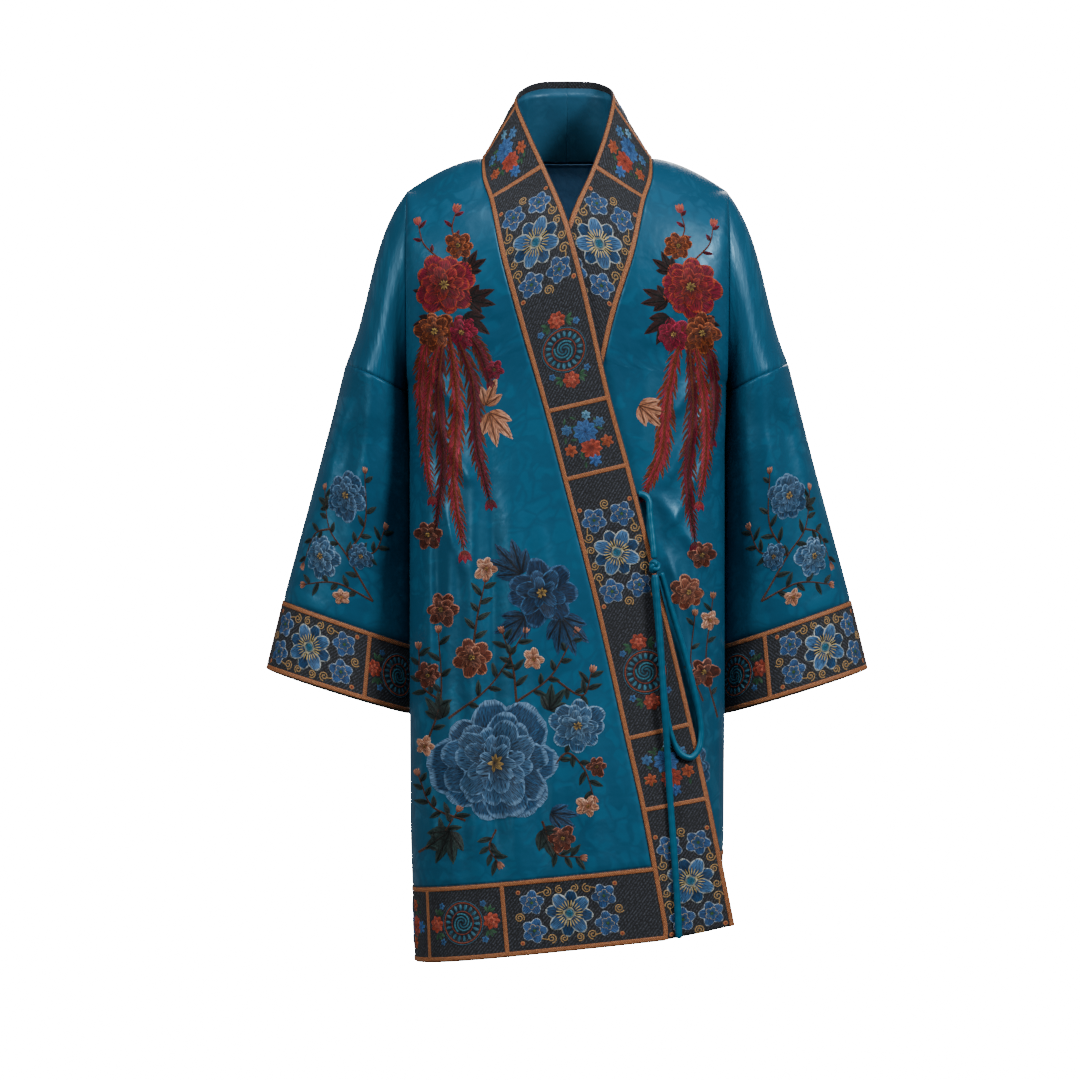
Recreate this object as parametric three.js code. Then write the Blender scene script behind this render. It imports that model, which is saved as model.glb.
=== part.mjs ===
// A crossed-collar robe with wide sleeves and brocade bands, filled out as when it is worn.
// Millimetres, +Z up. The front faces -Y and +X is the wearer's left.
// The origin is in the middle of the neck opening, level with the seam at the foot of the collar.
import * as THREE from 'three';

// Cloth and seams
const CLOTH = 2;            // satin with its interlining
const TRIM = 2.4;           // brocade bands, folded double
const FACING_CLOTH = 1;
const LINING = { thick: 1, rows: 9 };   // the back lining is built where the neck shows it
const SEAM = 0.3;           // between two pieces that are sewn together
const LAYER = 6;            // how far the overlapping front lies in front of the other one

// Body: the shoulder and side seams lie in one upright plane
const MID_Y = -5;
const ARMHOLE_X = 192;
const FRONT_DEPTH = 101;
const BACK_DEPTH = 104;
const FRONT_ROUNDNESS = 2.6;
const BACK_ROUNDNESS = 2.3;
const SHOULDER_ROUND = 180;  // height over which the cloth turns from the shoulder to the chest
const NECK_HALF = 102;
const NECK_Z = 6;
const NECK_BACK = 81;        // how far the back neck seam lies behind the shoulder seams
const SHOULDER_DROP = 40;
const SHOULDER_POWER = 1.6;
const ARMHOLE = { top: -34, low: -262, depth: 53 };
const ARM_MIDDLE = (ARMHOLE.top + ARMHOLE.low) / 2;
const ARM_HALF = (ARMHOLE.top - ARMHOLE.low) / 2;
// The overlapping front is wider at its free side and lifts off the other front round its edges
const OVER_EASE = 3;
const OVER_FLARE = { start: -480, end: -950, width: 26 };
const OVER_LIFT = { fromSide: 45, top: -28, height: 40 };

// Hem: it climbs towards the wearer's left
const HEM = { middle: -937, slope: 0.118, curve: 0.0002, band: 90, underRise: 6 };

// Half width of the body below the arms, by height
const BODY_HALF = [
  { z: 20, half: 192 },
  { z: -262, half: 191 },
  { z: -340, half: 188 },
  { z: -670, half: 188 },
  { z: -800, half: 187 },
  { z: -980, half: 181 },
];

// The neck bands, from the centre back to the hem: the seam edge and the free edge as x, y, z.
// Round the neck the seam edge is an ellipse, and where y is null the band lies on the body.
const OVER_BAND = [
  { free: [0, 52, 104] },
  { free: [-33, 46, 102] },
  { free: [-52, 27, 94] },
  { seam: [-102, -5, 6], free: [-60, -6, 77] },
  { seam: [-100, null, -25], free: [-45, -36, 36] },
  { seam: [-92, null, -50], free: [-25, -66, -10] },
  { seam: [-79, null, -115], free: [-3, -88, -62] },
  { seam: [-60, null, -186], free: [20, null, -145] },
  { seam: [-27, null, -300], free: [51, null, -282] },
  { seam: [-6, null, -380], free: [73, null, -361] },
  { seam: [30, null, -520], free: [108, null, -500] },
  { seam: [67, null, -684], free: [148, null, -666] },
  { seam: [86, null, -768], free: [168, null, -754] },
  { seam: [114, null, -921], free: [199, null, -906] },
];
const UNDER_BAND = [
  { free: [0, 52, 104] },
  { free: [33, 46, 102] },
  { free: [50, 27, 94] },
  { seam: [102, -5, 6], free: [54, -6, 79] },
  { seam: [100, null, -25], free: [44, -34, 36] },
  { seam: [92, null, -50], free: [28, -60, -10] },
  { seam: [79, null, -112], free: [5, -79, -62] },
  { seam: [56, null, -186], free: [-22, null, -145] },
  { seam: [30, null, -300], free: [-48, null, -282] },
  { seam: [9, null, -380], free: [-67, null, -361] },
  { seam: [-19, null, -520], free: [-95, null, -500] },
  { seam: [-42, null, -684], free: [-118, null, -666] },
  { seam: [-52, null, -768], free: [-130, null, -754] },
  { seam: [-66, null, -938], free: [-146, null, -944] },
];

// Long soft ridges in the panels: where they start and end, how wide and how proud
const OVER_FOLDS = [
  { x: [-112, -104], z: [-270, -880], wide: 15, proud: 7 },
  { x: [-68, -62], z: [-330, -900], wide: 17, proud: 6 },
  { x: [-166, -164], z: [-290, -640], wide: 8, proud: 4 },
  { x: [-140, -138], z: [-300, -540], wide: 8, proud: 3 },
  { x: [10, 30], z: [-620, -880], wide: 26, proud: 4 },
];
const UNDER_FOLDS = [
  { x: [150, 158], z: [-360, -900], wide: 9, proud: 4 },
  { x: [118, 172], z: [-440, -760], wide: 8, proud: 4 },
];
const BACK_FOLDS = [
  { x: [-96, -110], z: [-230, -930], wide: 20, proud: 7 },
  { x: [-34, -40], z: [-300, -940], wide: 18, proud: 5 },
  { x: [30, 44], z: [-260, -940], wide: 22, proud: 6 },
  { x: [104, 118], z: [-330, -930], wide: 18, proud: 7 },
];

// Sleeve rings on the wearer's left: middle, half size across the top and front to back, and the
// tilt of the ring in degrees
const RINGS = {
  dropSeam: { x: 229, y: 24, z: -256, across: 39, deep: 80, tilt: 25 },
  elbow: { x: 238, y: 34, z: -346, across: 54, deep: 76, tilt: 22 },
  cuffTop: { x: 263, y: 40, z: -549, across: 83, deep: 62, tilt: 19 },
  cuffEnd: { x: 274, y: 40, z: -632, across: 92, deep: 65, tilt: 17 },
};
const BAND_WIDTH = 80;
const BAND_MIDDLE = [1 / 3, 2 / 3];
const FACING = { end: -70, seamEdge: 0.09, freeEdge: 0.95 };   // its end height and shares of width
const CUFF_BACK_DROP = 7;    // the cuff hangs lower at the back
const CAP_WAY = [0.62, 0, -0.78];   // how the cloth leaves the armhole
const SLEEVE_FOLDS = { count: 5, proud: 3.2, turn: 0.7 };

// Tie: sewn behind the free edge of the overlapping band, knotted, with one loop and one tail
const TIE = { base: 7, tail: 7, loop: 6.4 };
const KNOT = { x: 102, z: -481, off: 9, half: [7.5, 5.5, 9] };
// x, z and how far the middle of the tie lies in front of the overlapping front
const TIE_EXIT_Z = -396;
const TIE_EXIT_GAP = 1.3;    // the edge slants, so the tie's round end stands a little off it
const TIE_BASE = [[93, -399.5, -0.6], [96, -406, 0.6], [96.5, -417, 1.8], [98.5, -436, 4.4],
  [100.5, -455, 7.4], [101.8, -471.8, 9]];
const TIE_TAIL = [
  [102.5, -490.7, 11], [103.8, -505, 12.2], [106, -530, 12.4], [108, -560, 12.6], [110, -590, 12.6],
  [112, -620, 12.4], [114, -650, 11.5], [116, -680, 9], [118, -712, 5.5], [120, -745, 4.2],
  [122.5, -780, 4.2], [125, -815, 4.2], [127.5, -850, 4.2], [129.5, -885, 4.2], [131, -918, 4.4],
];
const TIE_LOOP = [
  [109.4, -488.4, 7.6], [113, -500, 7], [118.5, -520, 6], [127, -548, 4.6], [136, -577, 4], [144, -606, 4],
  [151, -635, 4], [156, -660, 4.2], [157.5, -680, 4.6], [154, -697, 5], [145, -706, 5], [134, -702, 4.6],
  [125, -688, 4.2], [119, -668, 4], [115, -645, 4], [112, -615, 4], [109, -580, 4], [106, -545, 4],
  [103, -515, 4], [101.5, -494, 3.4],
];

// How finely each piece is divided
const GRID = {
  armhole: 9, side: 12, over: 20, under: 17, neck: 7, shoulder: 5,
  upper: 6, sleeve: 7, cuff: 2, ring: 22, hem: 2, cordSides: 8,
};

// Small helpers
const mix = (a, b, t) => a + (b - a) * t;
const clamp01 = (t) => Math.min(1, Math.max(0, t));
const smooth = (t) => {
  const c = clamp01(t);
  return c * c * (3 - 2 * c);
};
const range = (count) => Array.from({ length: count + 1 }, (_, i) => i / count);
const vec = (x, y, z) => new THREE.Vector3(x, y, z);

// Straight lines between the rows of a table ordered from high to low
function readTable(rows, z, column) {
  if (z >= rows[0].z) return rows[0][column];
  for (let i = 1; i < rows.length; i += 1) {
    if (z >= rows[i].z) {
      const t = (rows[i - 1].z - z) / (rows[i - 1].z - rows[i].z);
      return mix(rows[i - 1][column], rows[i][column], t);
    }
  }
  return rows[rows.length - 1][column];
}

// The body's form
const bodyHalf = (z) => readTable(BODY_HALF, z, 'half');
const shoulderZ = (x) => {
  const out = Math.max(0, Math.abs(x) - NECK_HALF) / (ARMHOLE_X - NECK_HALF);
  return NECK_Z - SHOULDER_DROP * out ** SHOULDER_POWER;
};
const hemZ = (x) => HEM.middle + HEM.slope * x + HEM.curve * x * x;

// Half depth of the armhole at a height, zero above and below it
function armholeDepth(z) {
  const t = (z - ARM_MIDDLE) / ARM_HALF;
  return Math.abs(t) < 1 ? ARMHOLE.depth * Math.sqrt(1 - t * t) : 0;
}

// How far the folds of a table stand out at a place
function foldHeight(folds, x, z) {
  return folds.reduce((sum, f) => {
    const t = (z - f.z[0]) / (f.z[1] - f.z[0]);
    if (t <= 0 || t >= 1) return sum;
    const from = (x - mix(f.x[0], f.x[1], t)) / f.wide;
    return sum + f.proud * Math.exp(-from * from) * smooth(Math.min(t * 3, (1 - t) * 6));
  }, 0);
}

// Distance from the seam plane to the front (or back) cloth at x, z
function bodyDepth(x, z, half, depth, roundness, neck) {
  const u = Math.min(1, Math.abs(x) / half);
  const across = (1 - u ** roundness) ** (1 / roundness);
  const t = clamp01((shoulderZ(x) - z) / SHOULDER_ROUND);
  const rise = mix(neck, 1, Math.sqrt(1 - (1 - t) ** 2));
  const arm = armholeDepth(z);
  return arm + (depth - arm) * across * rise;
}

function frontY(x, z) {
  return MID_Y - bodyDepth(x, z, bodyHalf(z), FRONT_DEPTH, FRONT_ROUNDNESS, 0);
}

function underY(x, z) {
  return frontY(x, z) - foldHeight(UNDER_FOLDS, x, z);
}

function overY(x, z) {
  const flare = OVER_FLARE.width * smooth((z - OVER_FLARE.start) / (OVER_FLARE.end - OVER_FLARE.start));
  const half = bodyHalf(z) + (x > 0 ? flare + OVER_EASE : 0);
  const lift = LAYER * smooth((x + bodyHalf(z)) / OVER_LIFT.fromSide)
    * smooth((OVER_LIFT.top - z) / OVER_LIFT.height);
  const y = MID_Y - bodyDepth(x, z, half, FRONT_DEPTH, FRONT_ROUNDNESS, 0);
  return y - lift - foldHeight(OVER_FOLDS, x, z);
}

function backY(x, z) {
  const inNeck = Math.max(0, 1 - (x / NECK_HALF) ** 2);
  const neck = (NECK_BACK / BACK_DEPTH) * Math.sqrt(inNeck);
  const y = MID_Y + bodyDepth(x, z, bodyHalf(z), BACK_DEPTH, BACK_ROUNDNESS, neck);
  return y + foldHeight(BACK_FOLDS, x, z);
}

// Heights of the points down a side: round the armhole, then down the side seam
function sideHeights(endZ) {
  const arm = range(GRID.armhole).map((t) => ARM_MIDDLE + ARM_HALF * Math.cos(Math.PI * t));
  const seam = range(GRID.side).slice(1).map((t) => mix(ARMHOLE.low, endZ, t));
  return [...arm, ...seam];
}

// A closed wall made from a grid of points. The grid is its outer face, pushed in by `under`, and
// the wall goes further in along the normals. A ring closes round its columns.
function wall(name, points, thick, material, { ring = false, edge = null, out, under = 0 }) {
  const rows = points.length;
  const cols = points[0].length;
  const at = (r, c) => {
    const column = ring ? (c + cols) % cols : Math.min(cols - 1, Math.max(0, c));
    return points[Math.min(rows - 1, Math.max(0, r))][column];
  };
  const outer = [];
  const inner = [];
  for (let r = 0; r < rows; r += 1) {
    for (let c = 0; c < cols; c += 1) {
      const down = at(r + 1, c).clone().sub(at(r - 1, c));
      const normal = at(r, c + 1).clone().sub(at(r, c - 1)).cross(down).normalize();
      if (normal.dot(out(at(r, c))) < 0) normal.negate();
      if (edge) edge(normal, r, c, rows - 1, cols - 1, at(r, c));
      outer.push(...at(r, c).clone().addScaledVector(normal, -under).toArray());
      inner.push(...at(r, c).clone().addScaledVector(normal, -under - thick).toArray());
    }
  }
  const back = rows * cols;
  const id = (r, c) => r * cols + (c % cols);
  const faces = [];
  const quad = (a, b, c, d) => faces.push(a, b, c, a, c, d);
  const lastRow = rows - 1;
  const lastCol = ring ? cols : cols - 1;
  for (let r = 0; r < lastRow; r += 1) {
    for (let c = 0; c < lastCol; c += 1) {
      quad(id(r, c), id(r + 1, c), id(r + 1, c + 1), id(r, c + 1));
      quad(back + id(r, c), back + id(r, c + 1), back + id(r + 1, c + 1), back + id(r + 1, c));
    }
    if (!ring) {
      quad(id(r, 0), back + id(r, 0), back + id(r + 1, 0), id(r + 1, 0));
      quad(id(r, lastCol), id(r + 1, lastCol), back + id(r + 1, lastCol), back + id(r, lastCol));
    }
  }
  for (let c = 0; c < lastCol; c += 1) {
    quad(id(0, c), id(0, c + 1), back + id(0, c + 1), back + id(0, c));
    quad(id(lastRow, c), back + id(lastRow, c), back + id(lastRow, c + 1), id(lastRow, c + 1));
  }
  return closedMesh(name, [...outer, ...inner], faces, material);
}

// A mesh with its faces turned outwards, found from the sign of its volume
function closedMesh(name, positions, faces, material) {
  const p = (i) => vec(positions[3 * i], positions[3 * i + 1], positions[3 * i + 2]);
  let volume = 0;
  for (let i = 0; i < faces.length; i += 3) {
    volume += p(faces[i]).dot(p(faces[i + 1]).cross(p(faces[i + 2])));
  }
  const order = volume < 0 ? [0, 2, 1] : [0, 1, 2];
  const turned = faces.map((_, i) => faces[i - (i % 3) + order[i % 3]]);
  const geometry = new THREE.BufferGeometry();
  geometry.setAttribute('position', new THREE.Float32BufferAttribute(positions, 3));
  geometry.setIndex(turned);
  geometry.computeVertexNormals();
  const mesh = new THREE.Mesh(geometry, material);
  mesh.name = name;
  return mesh;
}

// The two long edges of a neck band as curves. The seam edge starts at the shoulder.
function bandEdges(table, surface) {
  const curve = (rows, key) => new THREE.CatmullRomCurve3(rows.map((row) => {
    const [x, y, z] = row[key];
    return vec(x, y === null ? surface(x, z) : y, z);
  }), false, 'centripetal');
  const shoulder = table.findIndex((row) => row.seam);
  return {
    seam: curve(table.slice(shoulder), 'seam'),
    free: curve(table, 'free'),
    shoulder: shoulder / (table.length - 1),
  };
}

// The place on a falling curve at a height, as a share of it
function heightPlace(curve, z) {
  let low = 0;
  let high = 1;
  for (let i = 0; i < 40; i += 1) {
    const t = (low + high) / 2;
    if (curve.getPoint(t).z > z) low = t;
    else high = t;
  }
  return (low + high) / 2;
}

// Stations along a band: round the neck, then one for each row of the front and its hem band
function bandStations(side, edges, surface, heights) {
  const neck = range(GRID.neck).map((t) => {
    const x = side * NECK_HALF * Math.sin((Math.PI / 2) * t);
    const seam = vec(x, backY(x, NECK_Z), NECK_Z);
    return { seam, free: edges.free.getPoint(t * edges.shoulder) };
  });
  const front = heights.slice(1).map((z) => {
    const t = heightPlace(edges.seam, z);
    const seam = edges.seam.getPoint(t);
    seam.y = surface(seam.x, seam.z);
    return { seam, free: edges.free.getPoint(mix(edges.shoulder, 1, t)) };
  });
  neck[0].seam.x = (side * SEAM) / 2;
  neck[0].free.x = (side * SEAM) / 2;
  return [...neck, ...front];
}

// A band's grid over its stations. Below the neck it settles onto the body.
function bandGrid(stations, surface, across) {
  return stations.map(({ seam, free }) => across.map((s) => {
    const p = seam.clone().lerp(free, s);
    const start = mix(NECK_Z, -10, s);
    const settled = p.y < 0 ? clamp01((start - p.z) / mix(2, 80, s)) : 0;
    p.y = mix(p.y, surface(p.x, p.z), settled);
    return p;
  }));
}

// The height where a slanted line z = line(x) meets a seam x = seam(z)
function meet(seam, line) {
  let z = line(0);
  for (let i = 0; i < 12; i += 1) z = line(seam(z));
  return z;
}

// Columns crowd towards the start, where the cloth turns away round the side
const crowd = (t) => mix(t, 1 - Math.cos((Math.PI / 2) * t), 0.55);

// Rows of a front, as heights at its side and at the band's seam. `shoulder` says how far a row
// still follows the shoulder line.
function frontRows(seam, endLine, heights) {
  const span = heights[heights.length - 1] - heights[0];
  return heights.map((z) => {
    const f = (z - heights[0]) / span;
    return { side: z, seam: mix(NECK_Z, meet(seam, endLine), f), shoulder: (1 - smooth(f / 0.3)) ** 6 };
  });
}

function hemRows(side, seam, topLine, endLine) {
  return range(GRID.hem).map((t) => {
    const x = side * bodyHalf(HEM.middle);
    const seamZ = mix(meet(seam, topLine), meet(seam, endLine), t);
    return { side: mix(topLine(x), endLine(x), t), seam: seamZ, shoulder: 0 };
  });
}

// A front's grid from its side (-1 or +1 in x) to half a seam short of the band
function frontGrid(side, surface, seam, rows) {
  return rows.map((row) => {
    const xSide = side * bodyHalf(row.side);
    const xSeam = seam(row.seam) + (side * SEAM) / 2;
    return range(side < 0 ? GRID.over : GRID.under).map((t) => {
      const s = crowd(t);
      const x = mix(xSide, xSeam, s);
      const bow = shoulderZ(x) - mix(ARMHOLE.top, NECK_Z, s);
      const z = mix(row.side, row.seam, s) + bow * row.shoulder;
      return vec(x, Math.min(surface(x, z), MID_Y - SEAM / 2), z);
    });
  });
}

// The back's columns, as shares of its half width, meet the band's stations round the neck
function backColumns() {
  const neck = range(GRID.neck).map((t) => (NECK_HALF / ARMHOLE_X) * Math.sin((Math.PI / 2) * t));
  const shoulder = range(GRID.shoulder).slice(1)
    .map((t) => mix(NECK_HALF / ARMHOLE_X, 1, 1 - crowd(1 - t)));
  const half = [...neck, ...shoulder];
  return [...half.slice(1).reverse().map((u) => -u), ...half];
}

// The back's grid. Its rows are heights as functions of x.
function backGrid(columns, rows, topGap) {
  return rows.map((row, r) => columns.map((u) => {
    const x = u * bodyHalf(row(u * ARMHOLE_X));
    const z = row(x);
    return vec(x, Math.max(backY(x, z), MID_Y + SEAM / 2), r === 0 ? z - topGap : z);
  }));
}

function backRows(rightHeights, leftHeights, endLine) {
  const last = rightHeights.length - 1;
  return rightHeights.map((zRight, i) => (x) => {
    const u = clamp01(0.5 + x / (2 * bodyHalf(zRight)));
    const zSide = mix(zRight, leftHeights[i], u);
    const f = (zRight - rightHeights[0]) / (rightHeights[last] - rightHeights[0]);
    const straightEnd = mix(rightHeights[last], leftHeights[last], u);
    const top = (shoulderZ(x) - ARMHOLE.top) * (1 - f) ** 4;
    return zSide + top + (endLine(x) - straightEnd) * f ** 3;
  });
}

// The direction square to the body's cloth at a point, the same for the pieces on both sides of a seam
function clothNormal(p, surface) {
  const step = 2;
  const back = surface === backY;
  const z = Math.min(p.z, shoulderZ(p.x) - step);
  const slopeX = (surface(p.x + step, z) - surface(p.x - step, z)) / (2 * step);
  const slopeZ = (surface(p.x, z + step) - surface(p.x, z - step)) / (2 * step);
  return vec(slopeX, -1, slopeZ).multiplyScalar(back ? -1 : 1).normalize();
}

// Edge normals lie in the seam's plane, so that two pieces meet face to face
function frontEdges(surface) {
  return (normal, r, c, lastRow, lastCol, p) => {
    if (c === lastCol) normal.copy(clothNormal(p, surface));
    if (c === 0 && r < GRID.armhole) normal.x = 0;
    if (c === 0 && r > GRID.armhole) normal.y = 0;
    if (r === 0) normal.set(0, 0, 1);
    normal.normalize();
  };
}

function backEdges(normal, r, c, lastRow, lastCol, p) {
  const side = c === 0 || c === lastCol;
  const neck = c > GRID.shoulder && c < lastCol - GRID.shoulder;
  if (side && r < GRID.armhole) normal.x = 0;
  if (side && r > GRID.armhole) normal.y = 0;
  if (r === 0 && neck) normal.copy(clothNormal(p, backY));
  if (r === 0 && !neck) normal.set(0, 0, 1);
  normal.normalize();
}

function hemEdges(normal, r, c, lastRow, lastCol, p) {
  if (Math.abs(p.y - MID_Y) < 1) normal.setY(0).normalize();
}

function bandEdge(surface) {
  return (normal, r, c, lastRow, lastCol, p) => {
    if (c === 0 && r < GRID.neck) normal.copy(clothNormal(p, backY));
    if (c === 0 && r === GRID.neck) normal.set(Math.sign(p.x), 0, 0.5);
    if (c === 0 && r > GRID.neck) normal.copy(clothNormal(p, surface));
    if (r === 0) normal.setX(0);
    normal.normalize();
  };
}

function facingEdge(normal, r) {
  if (r === 0) normal.setX(0).normalize();
}

const awayFromBody = (p) => vec(p.x, p.y - MID_Y, p.z > -120 ? 60 : 0);
const awayFromNeck = (p) => vec(p.x, p.y - 20, 0);

// Sleeve rings. Angle 0 is the outer (top) line and a quarter turn is the front.
function armholeRing(side) {
  return (a) => vec(
    side * (ARMHOLE_X + SEAM),
    MID_Y - ARMHOLE.depth * Math.sin(a),
    ARM_MIDDLE + ARM_HALF * Math.cos(a),
  );
}

function sleeveRing(side, ring, backDrop = 0) {
  const tilt = THREE.MathUtils.degToRad(ring.tilt);
  return (a) => vec(
    side * (ring.x + ring.across * Math.cos(a) * Math.cos(tilt)),
    ring.y - ring.deep * Math.sin(a),
    ring.z + ring.across * Math.cos(a) * Math.sin(tilt) - backDrop * Math.max(0, -Math.sin(a)),
  );
}

function ringAxis(side, ring) {
  const tilt = THREE.MathUtils.degToRad(ring.tilt);
  return vec(side * Math.sin(tilt), 0, -Math.cos(tilt));
}

const turns = range(GRID.ring).slice(0, -1).map((t) => 2 * Math.PI * t);

// The shoulder cap leaves the armhole outwards and bends down into the sleeve
function capGrid(side) {
  const from = armholeRing(side);
  const to = sleeveRing(side, RINGS.dropSeam);
  const leave = vec(side * CAP_WAY[0], CAP_WAY[1], CAP_WAY[2]);
  const arrive = ringAxis(side, RINGS.dropSeam);
  return range(GRID.upper).map((t) => turns.map((a) => {
    const p = from(a);
    const q = to(a);
    const reach = p.distanceTo(q);
    return p.clone().multiplyScalar(2 * t ** 3 - 3 * t ** 2 + 1)
      .addScaledVector(leave, reach * (t ** 3 - 2 * t ** 2 + t))
      .addScaledVector(q, 3 * t ** 2 - 2 * t ** 3)
      .addScaledVector(arrive, reach * (t ** 3 - t ** 2));
  }));
}

// The sleeve passes through three rings, with soft folds that fade at both seams
function sleeveGrid(side) {
  const rings = [RINGS.dropSeam, RINGS.elbow, RINGS.cuffTop].map((ring) => sleeveRing(side, ring));
  return range(GRID.sleeve).map((t) => turns.map((a) => {
    const p = new THREE.CatmullRomCurve3(rings.map((ring) => ring(a))).getPoint(t);
    const wave = SLEEVE_FOLDS.proud * Math.cos(SLEEVE_FOLDS.count * a + SLEEVE_FOLDS.turn);
    p.y += wave * Math.sin(a) * Math.sin(Math.PI * t) ** 2;
    return p;
  }));
}

function cuffGrid(side) {
  const from = sleeveRing(side, RINGS.cuffTop);
  const to = sleeveRing(side, RINGS.cuffEnd, CUFF_BACK_DROP);
  return range(GRID.cuff).map((t) => turns.map((a) => from(a).lerp(to(a), t)));
}

// Takes half a seam off the start or the end of a tube
function trim(grid, atStart, atEnd) {
  const last = grid.length - 1;
  const shorten = (row, next) => row.forEach((p, c) => {
    p.addScaledVector(next[c].clone().sub(p).normalize(), SEAM / 2);
  });
  if (atStart) shorten(grid[0], grid[1]);
  if (atEnd) shorten(grid[last], grid[last - 1]);
  return grid;
}

// Turns the end normals of a tube into the planes of its end rings
function tubeEnds(startAxis, endAxis) {
  return (normal, r, c, lastRow) => {
    const axis = (r === 0 && startAxis) || (r === lastRow && endAxis);
    if (axis) normal.addScaledVector(axis, -normal.dot(axis)).normalize();
  };
}

// A cord of round section along a route in front of the overlapping front
function cord(name, route, size, material) {
  const curve = new THREE.CatmullRomCurve3(
    route.map(([x, z, off]) => vec(x, overY(x, z) - off, z)), false, 'centripetal');
  const section = new THREE.Shape(range(GRID.cordSides).slice(0, -1).map((t) => new THREE.Vector2(
    (size / 2) * Math.cos(2 * Math.PI * t), (size / 2) * Math.sin(2 * Math.PI * t))));
  const steps = Math.max(4, Math.round(curve.getLength() / (2.4 * size)));
  const geometry = new THREE.ExtrudeGeometry(section, { steps, extrudePath: curve });
  const mesh = new THREE.Mesh(geometry, material);
  mesh.name = name;
  return mesh;
}

function finish(color, roughness) {
  return new THREE.MeshStandardMaterial({ color, roughness, metalness: 0 });
}

const group = new THREE.Group();
const add = (...meshes) => group.add(...meshes);
const satin = () => finish('#0f5f78', 0.42);
const brocade = () => finish('#2b3038', 0.7);

// Lines of the hem. The hidden front ends a little higher towards its free corner.
const underHem = (x) => hemZ(x) + HEM.underRise * clamp01((ARMHOLE_X - x) / (2 * ARMHOLE_X));
const overTop = (x) => hemZ(x) + HEM.band;
const underTop = (x) => underHem(x) + HEM.band;
const above = (line) => (x) => line(x) + SEAM;

// Fronts and their bands
const overEdges = bandEdges(OVER_BAND, overY);
const underEdges = bandEdges(UNDER_BAND, underY);
const hemSide = bodyHalf(HEM.middle + HEM.band);
const rightHeights = sideHeights(above(overTop)(-hemSide));
const leftHeights = sideHeights(above(underTop)(hemSide));
const fronts = [
  { name: 'right', side: -1, surface: overY, edges: overEdges, heights: rightHeights,
    top: overTop, hem: hemZ },
  { name: 'left', side: 1, surface: underY, edges: underEdges, heights: leftHeights,
    top: underTop, hem: underHem },
];
fronts.forEach(({ name, side, surface, edges, heights, top, hem }) => {
  const seam = (z) => edges.seam.getPoint(heightPlace(edges.seam, z)).x;
  const panelRows = frontRows(seam, above(top), heights);
  const stripRows = hemRows(side, seam, top, hem);
  const seamHeights = [...panelRows, ...stripRows.slice(1)].map((row) => row.seam);
  const stations = bandStations(side, edges, surface, seamHeights);
  const inside = stations.filter(({ seam: p }) => p.z > FACING.end);
  const band = bandGrid(stations, surface, [SEAM / (2 * BAND_WIDTH), ...BAND_MIDDLE, 1]);
  const facing = bandGrid(inside, surface, [FACING.seamEdge, ...BAND_MIDDLE, FACING.freeEdge]);
  add(
    wall(`front_${name}`, frontGrid(side, surface, seam, panelRows), CLOTH, satin(),
      { out: awayFromBody, edge: frontEdges(surface) }),
    wall(`hem_band_${name}`, frontGrid(side, surface, seam, stripRows), TRIM, brocade(),
      { out: awayFromBody, edge: hemEdges }),
    wall(`neck_band_${name}`, band, TRIM, brocade(), { out: awayFromNeck, edge: bandEdge(surface) }),
    wall(`collar_facing_${name}`, facing, FACING_CLOTH, finish('#163f55', 0.5),
      { out: awayFromNeck, edge: facingEdge, under: TRIM + 2.5 * SEAM }),
  );
});

// Back, its hem band and its lining
const backTop = (x) => hemZ(x) + HEM.band;
const columns = backColumns();
const panelRows = backRows(rightHeights, leftHeights, above(backTop));
const stripRows = range(GRID.hem).map((t) => (x) => mix(backTop(x), hemZ(x), t));
const liningRows = panelRows.slice(1, LINING.rows);
add(
  wall('back_panel', backGrid(columns, panelRows, SEAM / 2), CLOTH, satin(),
    { out: awayFromBody, edge: backEdges }),
  wall('hem_band_back', backGrid(columns, stripRows, 0), TRIM, brocade(),
    { out: awayFromBody, edge: hemEdges }),
  wall('back_lining', backGrid(columns.slice(1, -1), liningRows, 0), LINING.thick,
    finish('#173f66', 0.6), { out: awayFromBody, under: CLOTH + 2 * SEAM }),
);

// Sleeves
[{ name: 'right', side: -1 }, { name: 'left', side: 1 }].forEach(({ name, side }) => {
  const middle = (ring) => vec(side * ring.x, ring.y, ring.z);
  const awayFrom = (from, to) => (p) => {
    const t = clamp01((p.z - from.z) / (to.z - from.z));
    return p.clone().sub(from.clone().lerp(to, t));
  };
  const arm = vec(side * ARMHOLE_X, MID_Y, ARM_MIDDLE);
  const [drop, cuffTop, cuffEnd] = [RINGS.dropSeam, RINGS.cuffTop, RINGS.cuffEnd];
  const axis = (ring) => ringAxis(side, ring);
  add(
    wall(`upper_sleeve_${name}`, trim(capGrid(side), false, true), CLOTH, satin(),
      { ring: true, out: awayFrom(arm, middle(drop)), edge: tubeEnds(vec(1, 0, 0), axis(drop)) }),
    wall(`sleeve_${name}`, trim(sleeveGrid(side), true, true), CLOTH, satin(),
      { ring: true, out: awayFrom(middle(drop), middle(cuffTop)),
        edge: tubeEnds(axis(drop), axis(cuffTop)) }),
    wall(`cuff_${name}`, trim(cuffGrid(side), true, false), TRIM, brocade(),
      { ring: true, out: awayFrom(middle(cuffTop), middle(cuffEnd)),
        edge: tubeEnds(axis(cuffTop), null) }),
  );
});

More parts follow.
